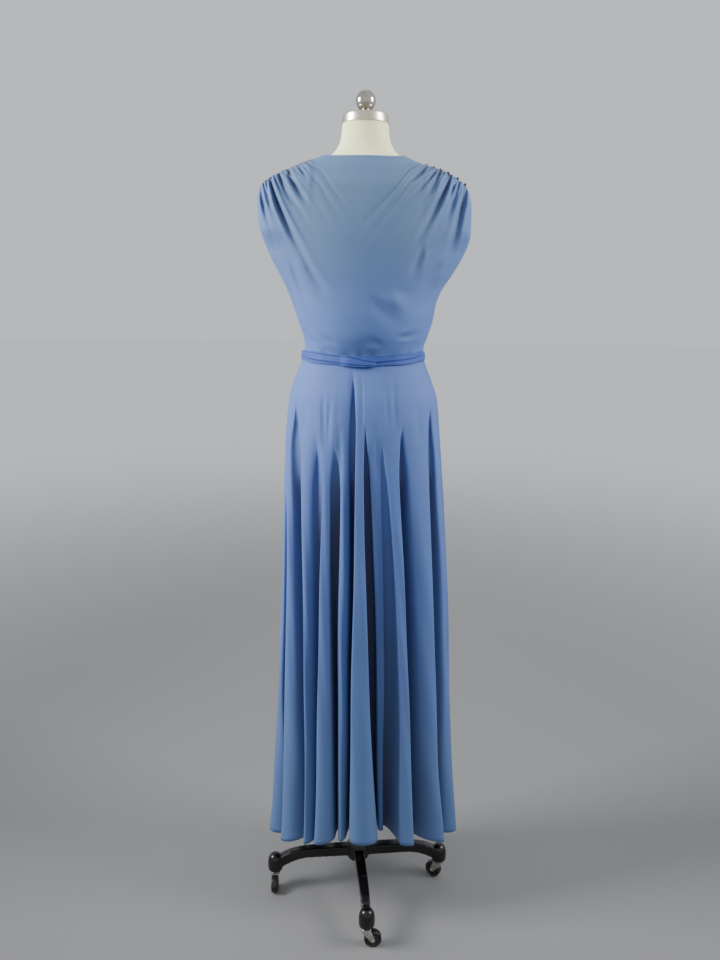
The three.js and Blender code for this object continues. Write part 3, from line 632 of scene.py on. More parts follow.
COVER_CREAM = tint(252, 253, 202)
COVER_SHADE = tint(243, 242, 184)
linen, shader, place = new_finish("cream_cover", {
    "Sheen Weight": 0.15, "Sheen Roughness": 0.5, "Specular IOR Level": 0.3,
})
x, y, z = place.parts()
cloudy = place.speckle(9, 4, 0.6).between(0.35, 0.75)
centre_seam = (1 - x.maths("ABSOLUTE", x).between(0.0004, 0.0016)) * y.between(0, 0.01)
neck_seam = 1 - (z - NECK_ROOT * MM).maths("ABSOLUTE", z - NECK_ROOT * MM).between(0.0003, 0.0013)
warp = place.speckle(700, 2, 0.5, (1, 1, 0.12))
weft = place.speckle(700, 2, 0.5, (0.12, 0.12, 1))
feed(shader, "Base Color", (cloudy * 0.35 + centre_seam * 0.3).mixed(COVER_CREAM, COVER_SHADE))
feed(shader, "Roughness", 0.78 + warp * 0.1)
feed(shader, "Normal", (warp + weft - (centre_seam + neck_seam) * 1.5).relief(0.3, 0.0004))
settle(cover, "form", linen, "form_torso", smooth_angle=50)

# Neck cap.  A flat lid of satin nickel, spun from sheet, with its rim turned down over the
# cover.  It is fixed by the finial, whose stem stands on its middle.
CAP_PROFILE = (
    (47.4, 1780.3), (48.4, 1780.6), (48.6, 1781.4), (48.5, 1795.6), (48.1, 1796.9),
    (47.2, 1797.8), (46, 1798), (14, 1798), (12, 1798),
)
NICKEL_BRIGHT = tint(232, 226, 208)
NICKEL_DULL = tint(182, 172, 156)
nickel, shader, place = new_finish("satin_nickel", {"Metallic": 1.0, "Anisotropic": 0.3})
turning = place.speckle(160, 3, 0.6, (0.05, 0.05, 6))
feed(shader, "Base Color", place.speckle(14, 4).between(0.3, 0.8).mixed(NICKEL_BRIGHT, NICKEL_DULL))
feed(shader, "Roughness", 0.2 + turning * 0.14)
feed(shader, "Normal", turning.relief(0.08, 0.0002))
cap = turned("neck_lid", CAP_PROFILE, 96)
settle(cap, "form", nickel, "neck_cap", smooth_angle=30)

# Finial.  A hollow chromed ball on a short turned stem, which is screwed through the cap.
# Ball and stem are one outline, drawn up ring by ring.
BALL_CENTRE = 1826
BALL_RADIUS = 21.5
BALL_TURNS = np.radians(np.linspace(-66, 88, 44))
STEM_PROFILE = ((12.4, 1798.3), (12.4, 1800), (11.2, 1801.2), (9.4, 1802.6), (8.8, 1805))
ball_profile = [
    (BALL_RADIUS * math.cos(turn), BALL_CENTRE + BALL_RADIUS * math.sin(turn)) for turn in BALL_TURNS
]
finial = turned("chrome_finial", (*STEM_PROFILE, *ball_profile), 72)
settle(finial, "form", chrome, "finial_ball", smooth_angle=35)

# Skirt.  Two back panels and one front panel of crepe, cut on the cross, smooth over the hips
# and falling below them in deep flutes.  Each flute is drawn from its row in the table: where
# its flat crest runs, where the furrow after it opens, and how far that furrow falls in.
CLOTH = 0.9
WAIST, WAIST_DIP = 1303, 10
HEM_SIDE, HEM_BACK, HEM_FRONT = 158, 216, 188
HIP, KNEE, LOW = 1140, 640, 200
HALF_SEAM = 0.15
SKIRT_ROWS, ROWS_CLOSING_UP = 118, 0.96
CREST_POINTS, FURROW_POINTS = 14, 18
SKIRT_REACH = (
    # height, to the left, to the right, depth
    (150, 223, 244, 158),
    (250, 213, 236, 155),
    (400, 203, 222, 152),
    (625, 191, 210, 148),
    (830, 182, 199, 144),
    (1030, 175, 182, 138),
    (1140, 170, 172, 130),
    (1215, 162, 164, 119),
    (1250, 153, 153, 108),
    (1290, 137, 137, 95),
    (1310, 131, 131, 91),
)
FLUTE_COLUMNS = (
    "left_hip left_knee left_hem right_hip right_knee right_hem"
    " start depth slowness inset fall_left fall_right"
)
FLUTE_ROWS = (
    # crest's left edge in degrees at hip, knee and hem, right edge at hip, knee and hem,
    # height where the furrow opens, its depth, how slowly it sinks, how far the crest is set
    # in, and how much of the furrows beside it the crest falls at its left and right edges
    (-4, -10, -12, 8, 16, 19, 1040, 40, 0.6, 0, 0.1, 0.1),
    (17, 26.0, 27.0, 21.8, 36.2, 49, 1222, 84, 0.42, 0, 0.0, 0.2),
    (39, 49, 54.2, 52, 54.1, 60.0, 1150, 58, 0.62, 0, 0.0, 0.42),
    (61.5, 61.0, 60.4, 66, 69.9, 74.0, 1150, 88, 0.72, 0, 0.0, 0.15),
    (74.7, 73.9, 75.4, 79.9, 81.6, 81.6, 1285, 80, 0.5, 6, 0.25, 0.25),
    (84.9, 84.4, 83.5, 90.5, 95.8, 103.6, 1188, 104, 0.74, 0, 0.0, 0.08),
    (93.5, 102.2, 105.6, 102.5, 108.8, 110.6, 1160, 84, 0.85, 58, 0.0, 0.0),
    (106, 114.9, 115.0, 116.3, 121.4, 125.4, 1178, 108, 0.5, 0, 0.0, 0.0),
    (123, 132, 137, 145, 146.2, 153, 1215, 70, 0.44, 0, 0.26, 0.0),
    (156, 161.5, 167, 175, 182, 186, 1000, 40, 0.6, 0, 0.12, 0.0),
    (187, 191, 194, 196, 202, 206, 1120, 60, 0.6, 0, 0.2, 0.3),
    (203, 209, 212, 212, 220, 223, 1165, 80, 0.5, 0, 0.35, 0.0),
    (220, 226, 229, 228, 236, 239, 1090, 56, 0.7, 5, 0.0, 0.3),
    (238, 243, 245, 248, 253, 255, 1190, 84, 0.5, 0, 0.0, 0.4),
    (257, 260, 261, 268, 272, 275, 1130, 70, 0.6, 0, 0.3, 0.1),
    (277, 280, 282, 285, 289, 291, 1175, 76, 0.5, 4, 0.0, 0.3),
    (294, 297, 298, 303, 309, 311, 1100, 64, 0.7, 0, 0.4, 0.0),
    (312, 316, 318, 322, 327, 329, 1160, 72, 0.5, 0, 0.1, 0.3),
    (332, 335, 336, 344, 342, 341, 1050, 48, 0.7, 0, 0.3, 0.1),
)
FLUTES = [namedtuple("Flute", FLUTE_COLUMNS)(*row) for row in FLUTE_ROWS]
FURROW_ROOM = (
    # height, and how deep a furrow may sink there before it nears the form
    (500, 115), (700, 96), (850, 74), (960, 50), (1030, 31), (1062, 23),
    (1110, 18.5), (1140, 16), (1200, 12), (1250, 10.5), (1303, 8),
)
MOUTH_DEEPENS, MOUTH_WIDENS = 70, 120
CREST_FALL = 1.2
CREST_ROUNDING, ROUNDED_BELOW, ROUNDED_OVER = 0.9, 620, 400
RIPPLE_LENGTH, RIPPLES_BELOW, RIPPLES_OVER = 47, 1150, 300
UNDERCUT, UNDERCUT_FROM = 2.0, 40
STEEP_FALL = 0.2
SHADED_SINK, SHADED_FALL = 34, 60
SWAYS = (
    # degrees to each side, millimetres down for each radian, waves round
    (0.3, 150, 5),
    (0.15, 61, 9),
)
HIP_CREASES = (
    # across and height at the top, across and height where it fades, depth, half width
    (84, 1232, 80, 1120, 2.6, 4.5),
    (69, 1226, 73, 1120, 2.4, 4.0),
    (49, 1172, 44, 1050, 2.6, 5.0),
    (23, 1284, 18, 1150, 2.8, 5.0),
    (2, 1278, 1, 1150, 2.2, 5.0),
    (-47, 1260, -56, 1160, 2.4, 5.0),
    (-65, 1262, -69, 1160, 2.8, 5.0),
    (-113, 1220, -125, 1130, 2.6, 5.0),
    (98, 1150, 96, 980, 3.0, 6.0),
    (120, 1222, 127, 1130, 1.8, 5.0),
    (-28, 1178, -33, 1060, 2.4, 7.0),
)


def soft_step(value):
    """0 below 0, 1 above 1, and a soft passage between."""
    value = np.clip(value, 0, 1)
    return value * value * (3 - 2 * value)


def hump(value, middle, width):
    """1 at the middle, and softly less to both sides."""
    return np.exp(-(((value - middle) / width) ** 2))


def waist_at(angle):
    return WAIST - WAIST_DIP * np.maximum(0, np.sin(angle)) ** 2


def hem_at(angle):
    middle = np.where(np.sin(angle) > 0, HEM_BACK, HEM_FRONT)
    return HEM_SIDE + (middle - HEM_SIDE) * np.sin(angle) ** 2


def crest_edge(hip, knee, hem, height):
    """Passage of a crest's edge through its angles at hip, knee and hem."""
    low = np.clip(height, LOW, WAIST)
    slope = (knee - hem) / (KNEE - LOW)
    bend = ((hip - hem) / (HIP - LOW) - slope) / (HIP - KNEE)
    angle = hem + (low - LOW) * (slope + bend * (low - KNEE))
    return np.where(low > HIP, hip, angle)


skirt_left, skirt_right, skirt_depth = (by_height(SKIRT_REACH, column) for column in (1, 2, 3))
skirt_share = np.linspace(0, 1, SKIRT_ROWS) ** ROWS_CLOSING_UP
fold_height = WAIST + (LOW - WAIST) * skirt_share


def furrow(flute):
    """Depth down the furrow after a flute, and the share of its full width that it has opened."""
    below_start = flute.start - fold_height
    opened = np.clip(below_start / (flute.start - LOW), 0, 1)
    room = np.interp(fold_height, *zip(*FURROW_ROOM))
    sunk = np.minimum(flute.depth * opened**flute.slowness, room)
    sunk = sunk * soft_step(below_start / MOUTH_DEEPENS + 0.1) * (opened > 0)
    return sunk, 0.25 + 0.75 * soft_step(below_start / MOUTH_WIDENS)


def crest_sides(number):
    """A crest's left and right edges down the skirt, in degrees that go on past a full turn."""
    flute = FLUTES[number % len(FLUTES)]
    turns = 360 * (number // len(FLUTES))
    return crest_edge(*flute[0:3], fold_height) + turns, crest_edge(*flute[3:6], fold_height) + turns


def skirt_columns():
    """Angle, inset and painted shade down every column of the skirt, flute by flute."""
    angles, insets, shades = [], [], []
    near_hem = soft_step((ROUNDED_BELOW - fold_height) / ROUNDED_OVER)
    rippled = soft_step((RIPPLES_BELOW - fold_height) / RIPPLES_OVER)
    for i, flute in enumerate(FLUTES):
        before, after = FLUTES[i - 1], FLUTES[(i + 1) % len(FLUTES)]
        last_right = crest_sides(i - 1)[1]
        left, right = crest_sides(i)
        next_left, next_right = crest_sides(i + 1)
        depth_before, opened_before = furrow(before)
        depth, opened = furrow(flute)
        inset = flute.inset * depth / flute.depth
        next_inset = after.inset * furrow(after)[0] / after.depth
        fall_left = flute.fall_left * depth_before + np.minimum(CREST_FALL, depth_before)
        fall_right = flute.fall_right * depth + np.minimum(CREST_FALL, depth)
        next_fall = after.fall_left * depth + np.minimum(CREST_FALL, depth)
        rounding = CREST_ROUNDING * near_hem * (right - left)
        next_rounding = CREST_ROUNDING * near_hem * (next_right - next_left)
        crest_from = left - (left - last_right) / 2 * (1 - opened_before)
        crest_to = right + (next_left - right) / 2 * (1 - opened)
        for t in np.linspace(0, 1, CREST_POINTS, endpoint=False):
            ripple = rippled * np.sin(fold_height / RIPPLE_LENGTH + 5 * t + 1.9 * i) * math.sin(math.pi * t)
            fall = fall_left * (1 - t) ** 2.4 + fall_right * t**2.4
            angles.append(crest_from + (crest_to - crest_from) * t)
            insets.append(inset + fall + ripple + rounding * abs(2 * t - 1) ** 3)
            shades.append(fall / SHADED_FALL)
        half = (next_left - right) / 2 * opened
        rim_from, rim_to = inset + fall_right + rounding, next_inset + next_fall + next_rounding
        for turn in np.linspace(0, math.pi, FURROW_POINTS, endpoint=False):
            across = math.copysign(1, math.cos(turn)) * abs(math.cos(turn)) ** (0.6 + 0.25 * near_hem)
            sink = math.sin(turn) ** (0.85 + 0.3 * near_hem)
            rim = rim_from + (rim_to - rim_from) * (1 - math.cos(turn)) / 2
            steep = (flute.fall_right if turn < math.pi / 2 else after.fall_left) < STEEP_FALL
            tuck = UNDERCUT * math.sin(2 * turn) * steep * soft_step(depth / UNDERCUT_FROM)
            angles.append((right + next_left) / 2 - half * across - tuck)
            insets.append(rim * (1 - sink) + np.maximum(depth, rim) * sink)
            edge = fall_right + (next_fall - fall_right) * turn / math.pi
            shades.append(sink * soft_step((depth - inset) / SHADED_SINK) + (1 - sink) * edge / SHADED_FALL)
    angles, insets, shades = (np.array(columns).T for columns in (angles, insets, shades))
    height, turned_by = fold_height[:, None], np.radians(angles)
    sway = sum(size * np.sin(height / length + waves * turned_by) for size, length, waves in SWAYS)
    return np.radians(angles + sway), insets, soft_step(shades)


skirt_angle, skirt_inset, skirt_painted_shade = skirt_columns()
skirt_top = waist_at(skirt_angle) - HALF_SEAM
skirt_z = skirt_top + (hem_at(skirt_angle) - skirt_top) * skirt_share[:, None]


def skirt_xy(inset):
    """Places the skirt's points by their angle, height and inset."""
    cosine, sine = np.cos(skirt_angle), np.sin(skirt_angle)
    left, right = skirt_left(skirt_z) - inset, skirt_right(skirt_z) - inset
    across = (left + right) / 2 * cosine + (left - right) / 2 * cosine * cosine
    return across, (skirt_depth(skirt_z) - inset) * sine


skirt_x, skirt_y = skirt_xy(skirt_inset)
for top_x, top_z, end_x, end_z, crease_depth, half_width in HIP_CREASES:
    down = np.clip((top_z - skirt_z) / (top_z - end_z), 0, 1)
    line = top_x + (end_x - top_x) * down
    shown = np.sin(math.pi * down) ** 0.7 * (skirt_y > 0)
    skirt_inset = skirt_inset + shown * crease_depth * hump(skirt_x, line, half_width)
skirt_x, skirt_y = skirt_xy(skirt_inset)
skirt_points = np.stack([skirt_x, skirt_y, skirt_z], axis=2)
beside = (np.roll(skirt_points, 1, axis=1) + np.roll(skirt_points, -1, axis=1)) / 2
skirt_points[..., :2] += (beside - skirt_points)[..., :2] / 2


def cloth_grid(name, points, thickness=CLOTH, sunk=0.0):
    """A sheet of cloth through a grid of points, with its own lengths as its UV map, in metres.

    It also keeps, as an attribute, how far each place lies sunk in the folds, from 0 to 1, which the crepe
    turns into painted shade."""
    rows, columns = points.shape[:2]
    steps_u = np.linalg.norm(np.diff(points, axis=1), axis=2)
    steps_v = np.linalg.norm(np.diff(points, axis=0), axis=2)
    along_u = np.pad(np.cumsum(steps_u, axis=1), ((0, 0), (1, 0)))
    along_v = np.pad(np.cumsum(steps_v, axis=0), ((1, 0), (0, 0)))
    index = np.arange(rows * columns).reshape(rows, columns)
    faces = np.stack(
        [index[:-1, :-1], index[:-1, 1:], index[1:, 1:], index[1:, :-1]], axis=2
    ).reshape(-1, 4)
    edge_a = (points[1:, :-1] - points[:-1, :-1]).reshape(-1, 3)
    edge_b = (points[:-1, 1:] - points[:-1, :-1]).reshape(-1, 3)
    outward = points[:-1, :-1].reshape(-1, 3) * (1, 1, 0)
    if (np.cross(edge_b, edge_a) * outward).sum() < 0:
        faces = faces[:, ::-1]
    mesh = bpy.data.meshes.new(name)
    mesh.from_pydata((points.reshape(-1, 3) * MM).tolist(), [], faces.tolist())
    lengths = mesh.uv_layers.new(name="lengths")
    corner = np.empty(len(mesh.loops), int)
    mesh.loops.foreach_get("vertex_index", corner)
    flat_uv = np.stack([along_u.ravel(), along_v.ravel()], axis=1) * MM
    lengths.data.foreach_set("uv", flat_uv[corner].ravel())
    folds = mesh.attributes.new("sunk", "FLOAT", "POINT")
    folds.data.foreach_set("value", np.broadcast_to(sunk, (rows, columns)).ravel())
    sheet = bpy.data.objects.new(name, mesh)
    bpy.context.scene.collection.objects.link(sheet)
    cloth = sheet.modifiers.new("cloth", "SOLIDIFY")
    cloth.thickness = thickness * MM
    cloth.offset = -1
    bpy.ops.object.select_all(action="DESELECT")
    sheet.select_set(True)
    apply_modifiers(sheet)
    return sheet


CREPE_CLEAR = tint(83, 108, 171)
CREPE_GREY = tint(92, 119, 147)
CREPE_DEEP = tint(76, 97, 157)
CREPE_SHADED = tint(66, 67, 93)
CREPE_SHEEN = {
    "Sheen Weight": 0.14, "Sheen Roughness": 0.4, "Specular IOR Level": 0.25,
    "Sheen Tint": tint(170, 200, 245),
}
crepe, shader, place = new_finish("blue_crepe", CREPE_SHEEN)
x, y, z = place.parts()
lengths = place.node("ShaderNodeUVMap", {"uv_map": "lengths"})
# The crepe greys over the upper middle of the bodice back. It also greys and dulls towards the hem, which
# is painted shade where the light falls off lower down.
bodice_grey_and_painted_hem_shade = z.between(1.34, 1.62) * (1 - x.maths("ABSOLUTE", x).between(0.08, 0.3)) * 0.85
bodice_grey_and_painted_hem_shade = bodice_grey_and_painted_hem_shade + (1 - z.between(0.2, 0.85)) * 0.4
uneven = place.speckle(5, 5, 0.6)
streak = place.speckle(26, 4, 0.6, (1, 1, 0.12))
hue = (bodice_grey_and_painted_hem_shade + uneven * 0.5 - 0.2 + streak * 0.16).mixed(CREPE_CLEAR, CREPE_GREY)
pebble = lengths.speckle(900, 3, 0.62, (1, 0.55, 1))
shade = (uneven.between(0.45, 0.75) * 0.35 + pebble.between(0.5, 0.75) * 0.12)
# Painted shade: the crepe darkens and greys towards CREPE_SHADED where it lies sunk in the folds and along
# the gathered seams.
sunk = place.node("ShaderNodeAttribute", {"attribute_name": "sunk"}, output="Fac")
feed(shader, "Base Color", (sunk * 0.85).mixed(shade.mixed(hue, CREPE_DEEP), CREPE_SHADED))
feed(shader, "Roughness", 0.6 + streak * 0.14)
feed(shader, "Normal", (pebble + lengths.speckle(160, 3) * 0.6).relief(0.22, 0.0004))

FLUTE_POINTS = CREST_POINTS + FURROW_POINTS
LEFT_SEAM = CREST_POINTS // 2
BACK_SEAM = 6 * FLUTE_POINTS - FURROW_POINTS // 3
RIGHT_SEAM = 9 * FLUTE_POINTS + CREST_POINTS // 2
SKIRT_PANELS = (
    # piece, solid, first and last column, flat width at the hem, flat area
    ("skirt_back_left_panel", "skirt_back_left", LEFT_SEAM, BACK_SEAM, 0.95, 0.66),
    ("skirt_back_right_panel", "skirt_back_right", BACK_SEAM, RIGHT_SEAM, 0.62, 0.46),
    ("skirt_front_panel", "skirt_front", RIGHT_SEAM, len(FLUTES) * FLUTE_POINTS + LEFT_SEAM, 1.48, 1.12),
)
SEAM_SINK, SEAM_PART = 0.9, 0.12
for piece, solid, first, last, flat_width, flat_area in SKIRT_PANELS:
    columns = np.arange(first, last + 1) % skirt_points.shape[1]
    panel = skirt_points[:, columns].copy()
    for end, beside in ((0, 1), (-1, -2)):
        toward = panel[:, beside] - panel[:, end]
        panel[:, end] += SEAM_PART * toward / np.linalg.norm(toward, axis=1, keepdims=True)
        inward = panel[:, end] * (1, 1, 0)
        panel[:, end] -= SEAM_SINK * inward / np.linalg.norm(inward, axis=1, keepdims=True)
    sheet = cloth_grid(piece, panel, sunk=skirt_painted_shade[:, columns])
    settle(sheet, "form", crepe, solid, smooth_angle=180)

# Bodice.  A back and a front of the same crepe, each gathered into the shoulder seams, with
# soft folds that fan from the gathers to the armholes and the middle, and bloused over the sash.
FORM_GAP = 0.9
SOFT_CONTACT = 0.8
UNDERARM = 1522
NECK_X, NECK_Z = 84, 1717
BACK_NECK, FRONT_NECK = 1709, 1668
ARMHOLE = 30
COLUMNS_CLOSER, ROWS_CLOSING_ON_TOP, TOP_EVENNESS = 2.2, 0.85, 0.55
TIP_LEFT, TIP_RIGHT, TIP_Z = 220, 216, 1655
BODICE_REACH = (
    # height, to the left, to the right, back, front
    (1292, 136, 136, 94.4, 95),
    (1303, 132.6, 132.6, 94.2, 92.4),
    (1312, 129, 131, 95, 92.5),
    (1330, 127, 132, 103, 98),
    (1350, 130, 139, 110, 104),
    (1385, 142, 150, 113, 109),
    (1420, 154, 156, 113, 116),
    (1450, 166, 168, 113, 122),
    (1480, 181, 188, 114, 129),
    (1520, 202, 211, 115, 132),
    (1545, 211, 220, 115, 130),
    (1575, 219, 221.5, 113, 125),
    (1615, 223, 221, 108, 110),
    (1645, 222, 218.5, 103, 94),
    (1655, 220, 216, 100, 88),
    (1664, 213, 208, 96, 83),
    (1672, 203, 197, 92, 79),
    (1684, 180, 178, 86, 74),
    (1694, 154, 151, 79, 69),
    (1704, 130, 116, 71, 63),
    (1712, 104, 97, 64, 58),
    (1720, 83, 82, 58, 54),
)
SHOULDER_FOLDS = (
    # across and height at the seam, on the way and where it fades, depth, half width
    (217, 1658, 207, 1612, 194, 1565, 5.5, 4.0),
    (203, 1668, 197, 1636, 188, 1596, 5.5, 3.4),
    (193, 1672, 168, 1596, 92, 1458, 9.0, 5.2),
    (176, 1682, 164, 1645, 132, 1600, 8.0, 4.6),
    (158, 1690, 140, 1648, 96, 1590, 8.0, 5.2),
    (140, 1695, 124, 1672, 106, 1648, 5.5, 3.6),
    (124, 1700, 112, 1690, 102, 1680, 4.0, 3.0),
    (-132, 1698, -108, 1672, -78, 1640, 5.5, 4.4),
    (-146, 1694, -130, 1682, -112, 1664, 5.5, 3.6),
    (-156, 1692, -140, 1656, -106, 1600, 8.5, 4.6),
    (-172, 1684, -156, 1632, -84, 1500, 9.0, 5.4),
    (-184, 1680, -176, 1655, -164, 1628, 6.0, 3.8),
    (-196, 1672, -182, 1630, -158, 1572, 6.5, 4.2),
    (-206, 1664, -188, 1570, -164, 1496, 6.0, 6.4),
    (211, 1663, 203, 1640, 197, 1612, 4.0, 2.4),
    (187, 1677, 176, 1652, 158, 1618, 4.2, 2.4),
    (167, 1686, 150, 1660, 126, 1630, 4.4, 2.4),
    (149, 1692, 131, 1670, 110, 1646, 4.0, 2.3),
    (132, 1698, 120, 1684, 106, 1666, 3.4, 2.2),
    (-126, 1700, -112, 1688, -96, 1672, 3.4, 2.2),
    (-139, 1696, -120, 1676, -94, 1650, 4.0, 2.3),
    (-151, 1693, -134, 1668, -108, 1634, 4.4, 2.4),
    (-164, 1688, -150, 1660, -124, 1616, 4.4, 2.4),
    (-178, 1682, -168, 1654, -146, 1606, 4.2, 2.4),
    (-190, 1676, -180, 1650, -167, 1618, 4.0, 2.3),
    (-201, 1668, -193, 1640, -184, 1606, 4.0, 2.3),
    (-212, 1660, -206, 1630, -201, 1596, 3.6, 2.3),
)
BLOUSE_FOLDS = (
    # the same for the soft folds that hang over the sash
    (132, 1520, 97, 1463, 64, 1424, 3.0, 8.0),
    (156, 1515, 133, 1453, 106, 1404, 3.2, 8.0),
    (166, 1480, 146, 1423, 132, 1382, 3.4, 8.0),
    (-122, 1540, -106, 1500, -88, 1466, 3.0, 8.0),
    (-166, 1508, -140, 1478, -118, 1440, 2.8, 10.0),
    (-10, 1446, -42, 1398, -100, 1382, 2.8, 14.0),
    (-48, 1448, -76, 1414, -116, 1402, -2.6, 15.0),
    (-62, 1350, -96, 1354, -126, 1366, 4.0, 6.0),
    (-148, 1426, -141, 1390, -123, 1362, 4.5, 8.0),
    (128, 1372, 112, 1344, 92, 1324, 3.0, 6.0),
    (52, 1332, 74, 1345, 100, 1352, 2.2, 7.0),
    (-44, 1330, -18, 1342, 14, 1344, 2.0, 8.0),
)
FOLD_RIDGE, FRONT_FOLDS = 0.34, 0.8
GATHERED = (
    # hand, where the gathers start and end across
    (1, 100, 222),
    (-1, 112, 218),
)
FAN_FROM, FAN_TO = 104, 226
FAN_LEAN, FAN_SPREAD = 1.66, 0.0065
FAN_RIPPLES = (
    # millimetres a radian, lag, wander and its millimetres a radian, sharpness, depth, reach, fading
    (1.45, 1, 1.4, 13, 2.6, 3.6, 38, 2),
    (2.9, 2, 0.8, 19, 2.2, 4.6, 90, 1.7),
)
RUCHING, STITCH_DIP, SHOULDER_PUFF = 1.2, 1.6, 4.2
NECK_ROLL, WAIST_GATHERS = 0.9, 1.1
BODICE_WIDEST = 240


def fold_line(fold):
    """Points along a fold: a bow through its place at the seam, on the way and at its end."""
    (x0, z0), (x1, z1), (x2, z2) = fold[0:2], fold[2:4], fold[4:6]
    bend_x, bend_z = 2 * x1 - (x0 + x2) / 2, 2 * z1 - (z0 + z2) / 2
    t = np.linspace(0, 1, 25)
    return (
        (1 - t) ** 2 * x0 + 2 * t * (1 - t) * bend_x + t**2 * x2,
        (1 - t) ** 2 * z0 + 2 * t * (1 - t) * bend_z + t**2 * z2,
    )


def fold_relief(fold, across, height, fade_in):
    """How far a fold lowers the cloth at each place, with a soft ridge along each side of it."""
    depth, half_width = fold[6:8]
    line_x, line_z = fold_line(fold)
    nearest = np.full(across.shape, 1e9)
    side = np.zeros(across.shape)
    share = np.zeros(across.shape)
    for i in range(len(line_x) - 1):
        step_x, step_z = line_x[i + 1] - line_x[i], line_z[i + 1] - line_z[i]
        length = math.hypot(step_x, step_z)
        along = np.clip(((across - line_x[i]) * step_x + (height - line_z[i]) * step_z) / length**2, 0, 1)
        off_x, off_z = across - line_x[i] - along * step_x, height - line_z[i] - along * step_z
        distance = np.hypot(off_x, off_z)
        closer = distance < nearest
        nearest = np.where(closer, distance, nearest)
        side = np.where(closer, np.sign(off_x * step_z - off_z * step_x), side)
        share = np.where(closer, (i + along) / (len(line_x) - 1), share)
    width = half_width * (0.5 + 0.9 * share)
    reach = nearest / width
    strength = soft_step((1 - share) * 1.7) * (soft_step(share * 3) if fade_in else 1)
    ridge = FOLD_RIDGE * hump(reach, 2.0, 0.9) * (1 + 0.4 * side)
    return depth * strength * (np.exp(-(reach**1.8)) - ridge)


bodice_left, bodice_right, bodice_back, bodice_front = (
    by_height(BODICE_REACH, column) for column in (1, 2, 3, 4)
)
edge_heights = np.linspace(TIP_Z, NECK_Z + 2, 240)


def top_edge(across, neck_height):
    """Height of the bodice's top edge: the neckline in the middle, the shoulder seam outside."""
    out = np.abs(across)
    left = np.interp(-out, -bodice_left(edge_heights), edge_heights)
    right = np.interp(-out, -bodice_right(edge_heights), edge_heights)
    shoulder = np.where(across > 0, left, right)
    neckline = neck_height + (NECK_Z - neck_height) * (out / NECK_X) ** 5
    return np.where(out <= NECK_X, neckline, shoulder)


def bodice_points(hand, rows, columns, neck_height):
    """Grid of a bodice half, hand +1 for the back and -1 for the front, before its folds."""
    spread = np.linspace(0, 1, 1001)
    closeness = 1 + COLUMNS_CLOSER * soft_step((np.abs(1 - 2 * spread) - 0.34) / 0.14)
    spent = np.concatenate([[0], np.cumsum((closeness[1:] + closeness[:-1]) / 2)])
    way = np.interp(np.linspace(0, spent[-1], columns), spent, spread)[None, :]
    share = (np.linspace(0, 1, rows) ** ROWS_CLOSING_ON_TOP)[:, None]
    across = np.cos(way * math.pi)
    even = across + (1 - 2 * way - across) * TOP_EVENNESS
    tip = np.where(across > 0, TIP_LEFT, TIP_RIGHT)
    top = top_edge(even * tip, neck_height)
    bottom = (waist_at(way * math.pi) if hand > 0 else WAIST) + HALF_SEAM
    z = bottom + (top - bottom) * share
    fraction = across + (even - across) * soft_step(share)
    reach = np.where(across > 0, bodice_left(z), bodice_right(z))
    x = fraction * np.where(z < TIP_Z, reach, tip)
    roundness = np.sqrt(np.maximum(0, 1 - (x / reach) ** 2))
    gape = soft_step((z - UNDERARM) / 45) * soft_step((TIP_Z + 2 - z) / 40)
    y = (bodice_back if hand > 0 else bodice_front)(z) * roundness + ARMHOLE * gape * np.abs(fraction) ** 6
    return x, y, z, top


def gathered(across):
    """Where the shoulder seam is gathered, from 0 to 1."""
    return sum(
        soft_step((hand * across - start) / 14) * soft_step((end - hand * across) / 8)
        for hand, start, end in GATHERED
    )


def fan(across, down):
    """Ripples that run down from the gathers, straight at the shoulder's tip and fanned inward."""
    start = (np.abs(across) + FAN_LEAN * down) / (1 + FAN_SPREAD * down)
    relief = np.zeros(across.shape)
    for length, lag, wander, wander_length, sharpness, depth, reach, fade in FAN_RIPPLES:
        phase = lag * np.sign(across) + wander * np.sin(start / wander_length)
        wave = np.exp(sharpness * (np.sin(start / length + phase) - 1))
        relief += depth * wave * np.exp(-((down / reach) ** fade))
    return relief * soft_step((start - FAN_FROM) / 16) * soft_step((FAN_TO - start) / 8)


def bodice_half(hand, rows, columns, neck_height):
    """Points of a bodice half with its folds, and how far each lies sunk in them, from 0 to 1, for painted
    shade.
    """
    x, y, z, top = bodice_points(hand, rows, columns, neck_height)
    down, gathers = top - z, gathered(x)
    over_waist = z - (waist_at(np.arccos(np.clip(x / BODICE_WIDEST, -1, 1))) if hand > 0 else WAIST)
    below = fan(x, down) * soft_step(down / 3)
    for folds, fade_in in ((SHOULDER_FOLDS, False), (BLOUSE_FOLDS, True)):
        for fold in folds:
            below += (1 if hand > 0 else FRONT_FOLDS) * fold_relief(fold, hand * x, z, fade_in)
    below -= RUCHING * np.sin(x / 0.98 + 1.3 * np.sin(x / 9.1)) * gathers * hump(down, 0, 7)
    below += STITCH_DIP * gathers * hump(down, 6.5, 2.2)
    below -= NECK_ROLL * hump(down, 2.2, 1.6) * (np.abs(x) < NECK_X)
    below += WAIST_GATHERS * np.sin(x / 5.2 + 1.7 * np.sin(x / 17)) * hump(over_waist, 14, 13)
    puffed = SHOULDER_PUFF * gathers * soft_step(down / 6) * hump(down, 0, 85)
    y = y - (below - puffed) * soft_step(down / 2.5) * soft_step(y / 16)
    form_depth = (form_back if hand > 0 else form_front)(z)
    form_y = form_depth * np.sqrt(np.maximum(0, 1 - (x / form_half(z)) ** 2))
    rest = form_y + FORM_GAP
    y = np.where(form_y > 0, rest + np.logaddexp(0, (y - rest) / SOFT_CONTACT) * SOFT_CONTACT, y)
    shade = soft_step(below / 13 + gathers * hump(down, 6, 4) / 2)
    return np.stack([x, hand * np.maximum(y, HALF_SEAM), z], axis=2), shade


